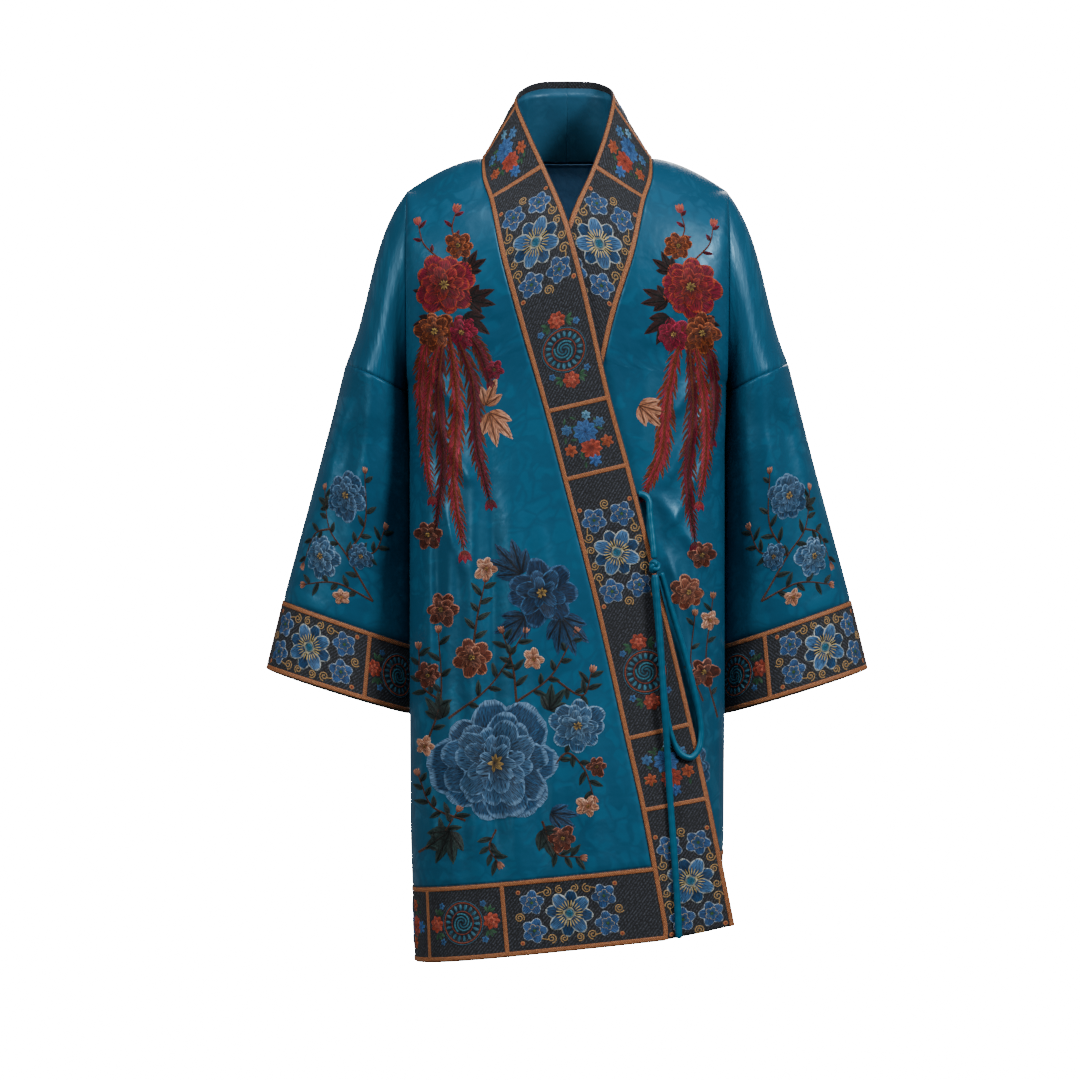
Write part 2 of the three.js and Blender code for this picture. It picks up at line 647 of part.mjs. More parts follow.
// Tie: it leaves the free edge of the overlapping band
const exitPlace = overEdges.free.getPoint(heightPlace(overEdges.free, TIE_EXIT_Z));
const tieExit = [exitPlace.x + TIE_EXIT_GAP, TIE_EXIT_Z, -TRIM / 2];
const tieTurn = [tieExit[0] + TIE.base / 2, TIE_EXIT_Z, -TRIM / 2];
const knot = new THREE.Mesh(new THREE.IcosahedronGeometry(1, 2), finish('#1a6f8c', 0.45));
knot.name = 'tie_knot';
knot.position.set(KNOT.x, overY(KNOT.x, KNOT.z) - KNOT.off, KNOT.z);
knot.scale.set(...KNOT.half);
add(
  knot,
  cord('tie_base', [tieExit, tieTurn, ...TIE_BASE], TIE.base, finish('#1a6f8c', 0.45)),
  cord('tie_tail', TIE_TAIL, TIE.tail, finish('#1a6f8c', 0.45)),
  cord('tie_loop', TIE_LOOP, TIE.loop, finish('#1a6f8c', 0.45)),
);

export default group;
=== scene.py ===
# %% [markdown]
# # A satin robe with brocade bands and needlework
# The robe is filled out as when it is worn, with nobody in it. It is sewn from silk satin panels
# and wide sleeves, edged with brocade bands, and closed with a knotted tie. The frame is the
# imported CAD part. Every piece that shows is built again here from the same sizes, with finer
# folds and cloth.

# %% Load the frame
import bpy
import bmesh
import numpy as np
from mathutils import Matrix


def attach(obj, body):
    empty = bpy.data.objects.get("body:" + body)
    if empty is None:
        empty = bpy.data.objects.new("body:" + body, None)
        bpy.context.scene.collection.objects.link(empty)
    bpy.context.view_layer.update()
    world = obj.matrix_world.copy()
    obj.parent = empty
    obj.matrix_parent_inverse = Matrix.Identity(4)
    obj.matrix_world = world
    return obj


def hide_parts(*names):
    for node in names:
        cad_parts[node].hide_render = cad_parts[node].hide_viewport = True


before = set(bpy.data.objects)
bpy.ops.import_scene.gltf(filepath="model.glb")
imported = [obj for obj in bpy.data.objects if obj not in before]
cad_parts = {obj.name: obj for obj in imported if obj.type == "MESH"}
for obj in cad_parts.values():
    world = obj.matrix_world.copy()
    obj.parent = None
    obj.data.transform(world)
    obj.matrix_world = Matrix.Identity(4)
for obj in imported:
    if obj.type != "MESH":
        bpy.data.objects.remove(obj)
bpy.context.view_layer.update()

# %% [markdown]
# ## Camera, floor and light
# The photo looks at the front from far away with a long lens, so the sides hardly converge. One
# of its 1080 pixels is 1.2 mm at the robe, which gives the camera's place and lens. The robe
# hangs just above a floor that curves up into the backdrop. The photo is cut out on white, so the
# paper glows white, and its glow is hidden from the cloth, whose folds need light from one side.

# %% Camera
MM = 0.001
PIXEL = 1.2                     # millimetres for one pixel of the photo
NECK_PIXEL = (567, 165)         # where the photo shows the middle of the neck seam
PHOTO = 1080
SCALE_Y = 0.02                  # the plane where a pixel has that size, in metres
distance = 6.0
width = PHOTO * PIXEL * MM
camera = bpy.data.objects.new("camera", bpy.data.cameras.new("camera"))
camera.data.sensor_width = 36
camera.data.lens = 36 * distance / width
camera.location = ((PHOTO / 2 - NECK_PIXEL[0]) * PIXEL * MM, -distance + SCALE_Y,
                   (NECK_PIXEL[1] - PHOTO / 2) * PIXEL * MM)
camera.rotation_euler = (np.pi / 2, 0, 0)
bpy.context.collection.objects.link(camera)
bpy.context.scene.camera = camera
print("camera sees", round(width, 3), "m across")


# %% Node helper and colours
def linear(colour, alpha=1.0):
    """The linear colour of an sRGB hex string such as '#1a7085'."""
    c = np.array([int(colour[i:i + 2], 16) for i in (1, 3, 5)]) / 255
    return (*np.where(c <= 0.04045, c / 12.92, ((c + 0.055) / 1.055) ** 2.4), alpha)


def add(tree, kind, inputs=(), **settings):
    """A new node of the kind, with its settings, and its inputs set, or linked to a socket or to
    the first output of a node."""
    made = tree.nodes.new("ShaderNode" + kind)
    for key, value in settings.items():
        setattr(made, key, value)
    for key, value in dict(inputs).items():
        value = value.outputs[0] if isinstance(value, bpy.types.Node) else value
        if isinstance(value, bpy.types.NodeSocket):
            tree.links.new(value, made.inputs[key])
        else:
            made.inputs[key].default_value = value
    return made


def material(name):
    """A new material with its tree emptied down to the output."""
    made = bpy.data.materials.new(name)
    made.use_nodes = True
    tree = made.node_tree
    tree.nodes.clear()
    return made, tree


# %% Floor and backdrop
FLOOR_Z, FLOOR_REACH = -1.0, 14                  # metres
BEND_START, BEND_RADIUS, BACKDROP_TOP = 8.5, 1.5, 8
turn = np.linspace(0, np.pi / 2, 24)
bend = np.stack([BEND_START + BEND_RADIUS * np.sin(turn),
                 FLOOR_Z + BEND_RADIUS * (1 - np.cos(turn))], 1)
profile = np.vstack([[-FLOOR_REACH, FLOOR_Z], bend, [BEND_START + BEND_RADIUS, BACKDROP_TOP]])
stage_points = np.array([[x, y, z] for y, z in profile for x in (-FLOOR_REACH, FLOOR_REACH)])
stage_mesh = bpy.data.meshes.new("backdrop")
stage_mesh.from_pydata(stage_points, [], [(2 * i, 2 * i + 1, 2 * i + 3, 2 * i + 2)
                                          for i in range(len(profile) - 1)])
stage_mesh.shade_smooth()
backdrop = bpy.data.objects.new("backdrop", stage_mesh)
bpy.context.collection.objects.link(backdrop)
paper, tree = material("backdrop_paper")
grain = add(tree, "TexNoise", {"Scale": 40.0, "Detail": 3.0})
tint = add(tree, "Mix", {0: grain, 6: linear("#f4f4f3"), 7: linear("#fafaf9")},
           data_type="RGBA")
shader = add(tree, "BsdfPrincipled", {"Base Color": tint.outputs[2], "Roughness": 0.85,
                                      "Emission Color": linear("#ffffff"),
                                      "Emission Strength": 30.0})
add(tree, "OutputMaterial", {"Surface": shader})
stage_mesh.materials.append(paper)
backdrop.visible_diffuse = backdrop.visible_glossy = False   # its glow doesn't reach the cloth
print("backdrop strips:", len(stage_mesh.polygons))

# %% Lights
ROBE_MIDDLE = (0, 0, -0.45)     # where the lights point, in metres
LIGHTS = [   # name, place, size, watts
    ("key", (3.3, -3.0, 2.2), 1.2, 330),
    ("fill", (-3.4, -3.0, 1.0), 1.6, 140),
    ("top", (-0.4, -1.8, 3.0), 1.2, 60),
    ("back", (0.6, 3.4, 1.6), 1.8, 75),
]
for name, place, size, watts in LIGHTS:
    light = bpy.data.objects.new(name, bpy.data.lights.new(name, "AREA"))
    light.data.size = size
    light.data.energy = watts
    light.location = place
    aim = -np.array(place) + ROBE_MIDDLE
    light.rotation_euler = (np.arctan2(np.hypot(aim[0], aim[1]), -aim[2]), 0,
                            np.arctan2(aim[1], aim[0]) - np.pi / 2)
    bpy.context.collection.objects.link(light)
world = bpy.data.worlds.new("studio")
world.use_nodes = True
sky = world.node_tree.nodes["Background"].inputs
sky["Color"].default_value = linear("#f2f4f6")
sky["Strength"].default_value = 0.16
bpy.context.scene.world = world
print("lights:", len(LIGHTS))

# %% [markdown]
# ## The robe's form
# Heights, widths and depths come from a few named sizes in millimetres, the same as in the solid
# frame. The front and the back are each half of a rounded box that narrows to the shoulder seam.
# Folds are soft ridges added on top, so every piece, band and stitch can follow the same surface.

# %% Sizes of the body
MID_Y = -5                      # the shoulder and side seams lie in this upright plane
ARMHOLE_X = 192
FRONT_DEPTH, BACK_DEPTH = 101, 104
FRONT_ROUND, BACK_ROUND = 2.6, 2.3
SHOULDER_ROUND = 180            # height over which the cloth turns from shoulder to chest
NECK_HALF, NECK_Z, NECK_BACK = 102, 6, 81
SHOULDER_DROP, SHOULDER_POWER = 40, 1.6
ARM_TOP, ARM_LOW, ARM_DEPTH = -34, -262, 53
ARM_MIDDLE, ARM_HALF = (ARM_TOP + ARM_LOW) / 2, (ARM_TOP - ARM_LOW) / 2
OVER_EASE, OVER_LAYER = 3, 6    # how much wider and further out the overlapping front is
LAYER_TOP, LAYER_RUN = -28, (45, 40)     # where its layer starts, and its run-up across and down
FLARE_START, FLARE_END, FLARE = -480, -950, 26   # its lower corner stands out past the body
HEM_MIDDLE, HEM_SLOPE, HEM_CURVE, HEM_BAND, UNDER_RISE = -937, 0.118, 0.0002, 90, 6
HALF_Z = np.array([20, -262, -340, -670, -800, -980])     # heights and half widths of the body
HALF_X = np.array([192, 191, 188, 188, 187, 181])


def mix(a, b, t):
    """A blend from a at t = 0 to b at t = 1."""
    return a + (b - a) * t


def smooth(t):
    """An S-shaped step from 0 at t = 0 to 1 at t = 1."""
    c = np.clip(t, 0, 1)
    return c * c * (3 - 2 * c)


def unit(v):
    """Vectors scaled to length one."""
    return v / np.maximum(np.linalg.norm(v, axis=-1, keepdims=True), 1e-9)


def body_half(z):
    """Half width of the body at a height, along straight lines between the sizes above."""
    return np.interp(-z, -HALF_Z, HALF_X)


def shoulder_z(x):
    """Height of the shoulder seam: level over the neck, then falling as a power of the distance."""
    out = np.maximum(0, np.abs(x) - NECK_HALF) / (ARMHOLE_X - NECK_HALF)
    return NECK_Z - SHOULDER_DROP * out ** SHOULDER_POWER


def hem_z(x):
    """Height of the hem: a slanted line with a slight curve."""
    return HEM_MIDDLE + HEM_SLOPE * x + HEM_CURVE * x * x


def under_hem_z(x):
    """Hem of the hidden front, a little higher towards its free corner."""
    return hem_z(x) + UNDER_RISE * np.clip((ARMHOLE_X - x) / (2 * ARMHOLE_X), 0, 1)


# %% Folds
# A ridge runs from one point to another, x then z, with its half width and how proud it stands.
OVER_FOLDS = [
    (-114, -270, -106, -885, 14, 8), (-66, -330, -60, -900, 15, 7), (-166, -290, -164, -640, 8, 5),
    (-140, -300, -138, -560, 8, 4), (10, -600, 34, -885, 20, 6), (-24, -640, -8, -885, 14, 4.5),
    (-186, -215, -118, -310, 7, 3.4), (-184, -262, -108, -392, 7, 3.8),
    (-178, -330, -116, -500, 7, 3.2),
    (-150, -110, -96, -230, 14, 2.6), (-128, -60, -84, -200, 11, 2.0),
    (-40, -400, -10, -580, 10, 3.0),
    (-180, -640, -152, -840, 8, 4.0), (-138, -600, -134, -870, 8, 3.4),
    (-92, -300, -86, -860, 8, -4.5),
    (-154, -420, -150, -640, 6, -3.0), (-36, -560, -30, -840, 9, -3.0),
    (-176, -120, -150, -260, 9, 2.4),
]
UNDER_FOLDS = [
    (150, -360, 158, -900, 9, 5), (116, -440, 172, -770, 9, 5), (100, -388, 180, -500, 7, 3.6),
    (102, -440, 186, -610, 7, 3.4), (186, -215, 118, -310, 7, 3.4), (184, -262, 108, -392, 7, 3.8),
    (178, -330, 112, -452, 6, 3.0), (150, -110, 96, -230, 14, 2.6), (176, -560, 183, -720, 5, 3.0),
    (136, -520, 152, -660, 6, -2.6), (176, -120, 150, -260, 9, 2.4), (96, -240, 84, -360, 10, 2.4),
]
BACK_FOLDS = [
    (-96, -230, -110, -930, 20, 8), (-34, -300, -40, -940, 18, 6), (30, -260, 44, -940, 22, 7),
    (104, -330, 118, -930, 18, 8), (-186, -220, -110, -350, 8, 3.6), (186, -220, 110, -350, 8, 3.6),
    (-150, -120, -60, -230, 16, 2.6), (150, -120, 60, -230, 16, 2.6),
    (-160, -420, -152, -880, 8, 4), (160, -420, 152, -880, 8, 4),
    (-70, -480, -74, -880, 8, -3.4), (72, -440, 80, -880, 8, -3.4),
]


def ridges(folds, x, z):
    """Height of the folds at x, z: each a bell across its line that fades in and out along it."""
    total = np.zeros(np.broadcast(x, z).shape)
    for x0, z0, x1, z1, wide, proud in folds:
        dx, dz = x1 - x0, z1 - z0
        length = np.hypot(dx, dz)
        t = ((x - x0) * dx + (z - z0) * dz) / length ** 2
        across = ((x - x0) * dz - (z - z0) * dx) / length / wide
        fade = smooth(np.minimum(3 * t, 6 * (1 - t)))
        total = total + proud * np.exp(-across ** 2) * fade
    return total


def softness(x, z):
    """A slow uneven swell of the cloth, under one millimetre, from three crossed waves."""
    return (0.35 * np.sin(x / 17 + z / 53) + 0.3 * np.sin(x / 29 - z / 41 + 1)
            + 0.2 * np.sin(x / 11 + z / 23 + 2))


def body_depth(x, z, half, depth, roundness, neck):
    """Distance from the seam plane to the cloth: a rounded box across, a quarter round at the
    shoulder, and an ellipse at the armhole that softens towards the middle. Also the share of the
    folds' height there, which fades at the seams that hold the cloth."""
    u = np.clip(np.abs(x) / half, 0, 1)
    across = (1 - u ** roundness) ** (1 / roundness)
    t = np.clip((shoulder_z(x) - z) / SHOULDER_ROUND, 0, 1)
    rise = mix(neck, 1, np.sqrt(1 - (1 - t) ** 2))
    open_arm = np.clip(1 - ((z - ARM_MIDDLE) / ARM_HALF) ** 2, 0, 1)
    arm = ARM_DEPTH * open_arm ** mix(1.5, 0.5, smooth((u - 0.8) / 0.2))
    free = smooth(t * 3) * smooth((1 - u) * 12)
    return arm + (depth - arm) * across * rise, free


def under_y(x, z):
    """The hidden front, on the wearer's left."""
    depth, free = body_depth(x, z, body_half(z), FRONT_DEPTH, FRONT_ROUND, 0)
    return MID_Y - depth - (ridges(UNDER_FOLDS, x, z) + softness(x, z)) * free


def over_y(x, z):
    """The overlapping front: wider at its free side, and a layer out except at its edges."""
    flare = FLARE * smooth((z - FLARE_START) / (FLARE_END - FLARE_START))
    half = body_half(z) + np.where(x > 0, flare + OVER_EASE, 0)
    lift = (OVER_LAYER * smooth((x + body_half(z)) / LAYER_RUN[0])
            * smooth((LAYER_TOP - z) / LAYER_RUN[1]))
    depth, free = body_depth(x, z, half, FRONT_DEPTH, FRONT_ROUND, 0)
    return MID_Y - depth - lift - (ridges(OVER_FOLDS, x, z) + softness(x, z)) * free


def back_y(x, z):
    """The back, rounder than the front and cut in an ellipse round the neck."""
    neck = NECK_BACK / BACK_DEPTH * np.sqrt(np.clip(1 - (x / NECK_HALF) ** 2, 0, 1))
    depth, free = body_depth(x, z, body_half(z), BACK_DEPTH, BACK_ROUND, neck)
    return MID_Y + depth + (ridges(BACK_FOLDS, x, z) + softness(x, z)) * free


print("front at the waist:", round(float(over_y(0.0, -450.0)), 1), "mm")


# %% Curves through points
def spline(points, t):
    """Points on a centripetal Catmull-Rom curve, the kind the frame uses. t runs from 0 to 1 and
    gives each span the same share. The first axis of the points runs along the curve."""
    points = np.asarray(points, float)
    ends = np.concatenate([2 * points[:1] - points[1:2], points, 2 * points[-1:] - points[-2:-1]])
    place = np.clip(np.asarray(t, float), 0, 1) * (len(points) - 1)
    i = np.minimum(place.astype(int), len(points) - 2)
    w = (place - i).reshape(-1, *[1] * (points.ndim - 1))
    p0, p1, p2, p3 = (ends[i + k] for k in range(4))
    d0, d1, d2 = (np.sqrt(np.linalg.norm(b - a, axis=-1, keepdims=True))
                  for a, b in ((p0, p1), (p1, p2), (p2, p3)))
    leave = d1 * ((p1 - p0) / d0 - (p2 - p0) / (d0 + d1) + (p2 - p1) / d1)
    arrive = d1 * ((p2 - p1) / d1 - (p3 - p1) / (d1 + d2) + (p3 - p2) / d2)
    return (mix(p1, p2, w * w * (3 - 2 * w)) + leave * (w ** 3 - 2 * w ** 2 + w)
            + arrive * (w ** 3 - w ** 2))


def lengths(points):
    """Distance along a line of points from its start to each of them."""
    steps = np.linalg.norm(np.diff(points, axis=0), axis=-1)
    return np.concatenate([np.zeros((1, *steps.shape[1:])), np.cumsum(steps, axis=0)])


# %% Mesh helper
def grid_faces(rows, cols, rows_close=False, cols_close=False):
    """Four corners of each cell of a grid: their rows, their columns, and their point numbers. A
    side that closes joins its last points to its first."""
    r, c = np.meshgrid(np.arange(rows - (not rows_close)), np.arange(cols - (not cols_close)),
                       indexing="ij")
    i, j = (np.stack(k, -1).reshape(-1, 4) for k in ((r, r, r + 1, r + 1), (c, c + 1, c + 1, c)))
    return i, j, (i % rows) * cols + j % cols


def build_mesh(name, points, quads, tris=(), uv=None, colour=None, flat=False):
    """An object from whole arrays: points in millimetres, faces as rows of point numbers, uv in
    metres for each corner of a face, a colour for each point, and which faces are shaded flat."""
    quads = np.asarray(quads, np.int32).reshape(-1, 4)
    tris = np.asarray(tris, np.int32).reshape(-1, 3)
    corners = np.concatenate([quads.ravel(), tris.ravel()])
    starts = np.concatenate([np.arange(len(quads)) * 4, 4 * len(quads) + np.arange(len(tris)) * 3])
    mesh = bpy.data.meshes.new(name)
    mesh.vertices.add(len(points))
    mesh.vertices.foreach_set("co", (points * MM).astype(np.float32).ravel())
    mesh.loops.add(len(corners))
    mesh.loops.foreach_set("vertex_index", corners)
    mesh.polygons.add(len(starts))
    mesh.polygons.foreach_set("loop_start", starts.astype(np.int32))
    mesh.update(calc_edges=True)
    mesh.polygons.foreach_set("use_smooth", np.ones(len(starts), bool) & ~np.asarray(flat))
    if uv is not None:
        mesh.uv_layers.new(name="UVMap").data.foreach_set("uv", uv.astype(np.float32).ravel())
    if colour is not None:
        layer = mesh.color_attributes.new("thread", "FLOAT_COLOR", "POINT")
        layer.data.foreach_set("color", colour.astype(np.float32).ravel())
    mesh.validate()
    made = bpy.data.objects.new(name, mesh)
    bpy.context.collection.objects.link(made)
    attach(made, "root")
    return made


# %% [markdown]
# ## The tie
# A flat strand of the robe's own satin, turned to a soft cord, comes out behind the free edge of
# the band. It is knotted, and leaves the knot as one loop and one long tail. Each strand is a
# tube swept along its route, a little flattened and twisted, with the small puckers of a sewn
# edge.

# %% Routes of the tie
# x, z and how far the middle of the cord lies in front of the overlapping front
TIE_EXIT = (83.1, -396, -1.2)
TIE_BASE = [TIE_EXIT, (86.6, -396, -1.2), (93, -399.5, -0.6), (96, -406, 0.6), (96.5, -417, 1.8),
            (98.5, -436, 4.4), (100.5, -455, 7.4), (101.8, -471.8, 9)]
TIE_TAIL = [(102.5, -490.7, 11), (103.8, -505, 12.2), (106, -530, 12.4), (108, -560, 12.6),
            (110, -590, 12.6), (112, -620, 12.4), (114, -650, 11.5), (116, -680, 9),
            (118, -712, 5.5), (120, -745, 4.2), (122.5, -780, 4.2), (125, -815, 4.2),
            (127.5, -850, 4.2), (129.5, -885, 4.2), (131, -918, 4.4)]
TIE_LOOP = [(109.4, -488.4, 7.6), (113, -500, 7), (118.5, -520, 6), (127, -548, 4.6),
            (136, -577, 4), (144, -606, 4), (151, -635, 4), (156, -660, 4.2), (157.5, -680, 4.6),
            (154, -697, 5), (145, -706, 5), (134, -702, 4.6), (125, -688, 4.2), (119, -668, 4),
            (115, -645, 4), (112, -615, 4), (109, -580, 4), (106, -545, 4), (103, -515, 4),
            (101.5, -494, 3.4)]


# %% Build the tie
TUBE_SIDES = 20


def route(rows, step=1.5):
    """Points every few millimetres on a smooth curve through a table of x, z and distance out."""
    x, z, off = np.array(rows, float).T
    knots = np.stack([x, over_y(x, z) - off, z], 1)
    fine = spline(knots, np.linspace(0, 1, 600))
    along = lengths(fine)
    wanted = np.linspace(0, along[-1], max(12, int(along[-1] / step)))
    return np.stack([np.interp(wanted, along, fine[:, k]) for k in range(3)], 1), wanted


def tube(name, rows, diameter, flatness, seed):
    """A cord swept along its route. Its section is an ellipse that turns slowly about the route,
    and its radius swells and pinches by a few hundredths, as a sewn strand does."""
    line, along = route(rows)
    tangent = unit(np.gradient(line, axis=0))
    sideways = unit(np.cross(tangent, [0.0, 1.0, 0.0]))
    upwards = np.cross(sideways, tangent)
    angle = np.linspace(0, 2 * np.pi, TUBE_SIDES, endpoint=False)
    turned = angle[None, :] + 0.5 * np.sin(along / 70 + seed)[:, None]
    rng = np.random.default_rng(seed)
    pinch = 1 + 0.03 * np.sin(along / 2.1 + rng.uniform(0, 6)) + 0.04 * np.sin(along / 13 + seed)
    radius = diameter / 2 * pinch[:, None] * np.where(
        np.minimum(along, along[-1] - along)[:, None] < 0.8, 0.8, 1)
    a = radius * (1 + flatness) * np.cos(turned)
    b = radius * (1 - flatness) * np.sin(turned) * (1 + 0.06 * np.cos(4 * turned))
    rings = line[:, None] + a[..., None] * sideways[:, None] + b[..., None] * upwards[:, None]
    count, cols = len(line), TUBE_SIDES
    i, j, quads = grid_faces(count, cols, cols_close=True)
    points = np.concatenate([rings.reshape(-1, 3), line[:1], line[-1:]])
    here = np.arange(cols)
    after, middle, end = (here + 1) % cols, here * 0 + count * cols, (count - 1) * cols
    caps = np.concatenate([np.stack([middle, after, here], 1),
                           np.stack([middle + 1, end + here, end + after], 1)])
    uv = np.stack([j.ravel() / cols * np.pi * diameter, along[i.ravel()]], 1) * MM
    uv = np.concatenate([uv, np.zeros((caps.size, 2))])
    return build_mesh(f"{name}_cord", points, quads, caps, uv), line, along[-1]


tie = {}
for name, rows, diameter, flatness, seed in [("tie_base", TIE_BASE, 7.0, 0.10, 1),
                                             ("tie_tail", TIE_TAIL, 7.0, 0.12, 2),
                                             ("tie_loop", TIE_LOOP, 6.4, 0.12, 3)]:
    cord, line, length = tube(name, rows, diameter, flatness, seed)
    tie[name] = (cord, line, length, diameter)
    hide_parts(name)
    print(name, round(length, 1), "mm long")

# %% Knot
# Two turns of the strand wrapped round each other, drawn as a small torus knot squeezed flat
KNOT_AT, KNOT_OFF, KNOT_HALF = (102, -481), 9, (7.5, 5.5, 9)
KNOT_STEPS, KNOT_SIDES, KNOT_STRAND = 120, 14, (3.3, 2.9)   # the strand's half depth and width
turns = np.linspace(0, 2 * np.pi, KNOT_STEPS, endpoint=False)
knot_line = np.stack([np.cos(2 * turns) * (2 + np.cos(3 * turns)) / 3 * KNOT_HALF[0] * 0.62,
                      np.sin(3 * turns) * KNOT_HALF[1] * 0.42,
                      np.sin(2 * turns) * (2 + np.cos(3 * turns)) / 3 * KNOT_HALF[2] * 0.66], 1)
knot_line += (KNOT_AT[0], over_y(*map(float, KNOT_AT)) - KNOT_OFF, KNOT_AT[1])
along_knot = unit(np.roll(knot_line, -1, 0) - np.roll(knot_line, 1, 0))
outward = unit(np.cross(along_knot, np.cross([0.0, 1.0, 0.0], along_knot)))
beside = np.cross(along_knot, outward)
ring = np.linspace(0, 2 * np.pi, KNOT_SIDES, endpoint=False)
knot_points = (knot_line[:, None]
               + KNOT_STRAND[0] * np.cos(ring)[None, :, None] * outward[:, None]
               + KNOT_STRAND[1] * np.sin(ring)[None, :, None] * beside[:, None])
i, j, quads = grid_faces(KNOT_STEPS, KNOT_SIDES, True, True)
knot = build_mesh("tie_knot_wrap", knot_points.reshape(-1, 3), quads, (),
                  np.stack([j.ravel() * 1.5, i.ravel()], 1) * MM)
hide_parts("tie_knot")

CORDS = [("tie_base", "knot"), ("tie_tail", "bare"), ("tie_loop", "knot")]
for name, far_end in CORDS:
    cord, line, length, diameter = tie[name]
print("cords declared:", len(CORDS))

# %% [markdown]
# ## Cloth walls
# Each piece of the robe is a closed wall of cloth, made from one grid of points on its outer
# face. The wall is pushed in along the normals. Where an edge is turned over, as at a hem, the
# wall thins to a round nose. A `Cloth` also knows how far each of its points lies along and
# across it, so bands and needlework can be laid on it by distance, as a maker would.


# %% Cloth
class Cloth:
    """A grid of points in millimetres, first axis along, second across. `out` is a rough outward
    direction for each point. With `ring` the first axis closes on itself."""

    def __init__(self, points, out, ring=False):
        self.ring = ring
        self.points = points
        closed = np.concatenate([points, points[:1]]) if ring else points
        ahead = (np.roll(points, -1, 0) - np.roll(points, 1, 0) if ring
                 else np.gradient(points, axis=0))
        normal = unit(np.cross(ahead, np.gradient(points, axis=1)))
        turned = np.sign(np.sum(normal * out, -1, keepdims=True))
        self.normals = normal * np.where(turned == 0, 1, turned)
        self.along = lengths(closed[:, points.shape[1] // 2])
        self.across = lengths(points[len(points) // 2])
        self.uv = np.stack([np.swapaxes(lengths(np.swapaxes(closed, 0, 1)), 0, 1),
                            np.broadcast_to(self.along[:, None], closed.shape[:2])], -1)

    def push(self, amount):
        """Moves each point in along its normal by an amount in millimetres."""
        self.points = self.points - self.normals * amount[..., None]
        return self

    def at_index(self, row, col, height):
        """Points over the cloth at fractional grid places, by mixing the four around each."""
        rows, cols = self.points.shape[:2]
        if not self.ring:
            row = np.clip(row, 0, rows - 1.0001)
        col = np.clip(col, 0, cols - 1.0001)
        i, j = np.floor(row).astype(int), np.floor(col).astype(int)
        a, b = (row - i)[..., None], (col - j)[..., None]
        i0, i1 = i % rows, (i + 1) % rows

        def blend(grid):
            first, second = (mix(grid[i0, k], grid[i1, k], a) for k in (j, j + 1))
            return mix(first, second, b)
        return blend(self.points) + unit(blend(self.normals)) * np.asarray(height)[..., None]

    def at(self, along, across, height):
        """Points over the cloth at distances along and across it in millimetres."""
        rows = np.arange(len(self.along))
        if self.ring:
            along = np.mod(along, self.along[-1])
        return self.at_index(np.interp(along, self.along, rows),
                             np.interp(across, self.across, np.arange(len(self.across))), height)


def near_edge(distance, thick):
    """How far a turned edge thins the wall: 1 at the edge and 0 half a thickness from it."""
    t = np.clip(1 - distance / (thick / 2), 0, 1)
    return 1 - np.sqrt(1 - t * t)


sewn = {}


def wall(name, cloth, thick, finish, nose="", under=0.0):
    """A closed wall of cloth in place of the frame's node of that name. `nose` names its turned
    edges among first, last, left and right: the two ends along and the two sides across. `under`
    pushes the whole wall in."""
    rows, cols = cloth.points.shape[:2]
    thin = np.zeros((rows, cols))
    along, across = cloth.along[:rows, None], cloth.across[None, :]
    for edge, distance in [("first", along), ("last", cloth.along[-1] - along),
                           ("left", across), ("right", cloth.across[-1] - across)]:
        if edge in nose:
            thin = np.maximum(thin, near_edge(distance, thick))
    half = thick / 2
    place = lambda depth: cloth.points - cloth.normals * (under + depth)[..., None]
    points = np.concatenate([place(half * thin).reshape(-1, 3),
                             place(thick - half * thin).reshape(-1, 3)])
    i, j, outer = (k[:, [0, 3, 2, 1]] for k in grid_faces(rows, cols, cloth.ring))
    r, c = np.arange(rows if cloth.ring else rows - 1), np.arange(cols - 1)
    edges = [(r + 1, 0, r, 0), (r, cols - 1, r + 1, cols - 1)]
    if not cloth.ring:
        edges += [(0, c, 0, c + 1), (rows - 1, c + 1, rows - 1, c)]
    rims, rim_uv = [], []
    for edge in edges:
        i0, j0, i1, j1 = np.broadcast_arrays(*edge)
        a, b = (i0 % rows) * cols + j0, (i1 % rows) * cols + j1
        rims.append(np.stack([a, b, b + rows * cols, a + rows * cols], 1))
        rim_uv.append(np.stack([cloth.uv[k] for k in ((i0, j0), (i1, j1), (i1, j1), (i0, j0))], 1))
    quads = np.concatenate([outer, outer[:, ::-1] + rows * cols, *rims])
    uv = np.concatenate([cloth.uv[i, j], cloth.uv[i, j][:, ::-1], *rim_uv]) * MM
    a, b, d = (points[outer[:, k]] for k in (0, 1, 3))
    if np.sum(np.cross(b - a, d - a) * cloth.normals.reshape(-1, 3)[outer[:, 0]]) < 0:
        quads, uv = quads[:, ::-1], uv[:, ::-1]
    flat = np.arange(len(quads)) >= 2 * len(outer)
    made = build_mesh(f"{name}_cloth", points, quads, (), uv.reshape(-1, 2), None, flat)
    tidy = bmesh.new()
    tidy.from_mesh(made.data)
    bmesh.ops.remove_doubles(tidy, verts=tidy.verts, dist=2e-6)
    tidy.to_mesh(made.data)
    tidy.free()
    made.data.materials.append(finish)
    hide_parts(name)
    sewn[name] = (made, cloth)
    print(name, len(made.data.polygons), "faces,", round(cloth.along[-1]), "mm along,",
          round(cloth.across[-1]), "mm across")


# %% [markdown]
# ## Finishes
# The satin is a smooth weave of one colour with a self-coloured jacquard: the same thread floats
# longer in the leaf-like areas, so they shine where the ground stays soft, and they are also
# painted a lighter colour, a painted sheen. The brocade is a heavy twill in near black with pale
# flecks. Scales are real millimetres, read from each cloth's own UV.

# %% Satin
def cloth_material(name):
    """A new material with its tree, and the place on the cloth in millimetres."""
    made, tree = material(name)
    uv = add(tree, "UVMap", uv_map="UVMap")
    mm = add(tree, "VectorMath", {0: uv, 1: (1000, 1000, 1000)}, operation="MULTIPLY")
    return made, tree, mm


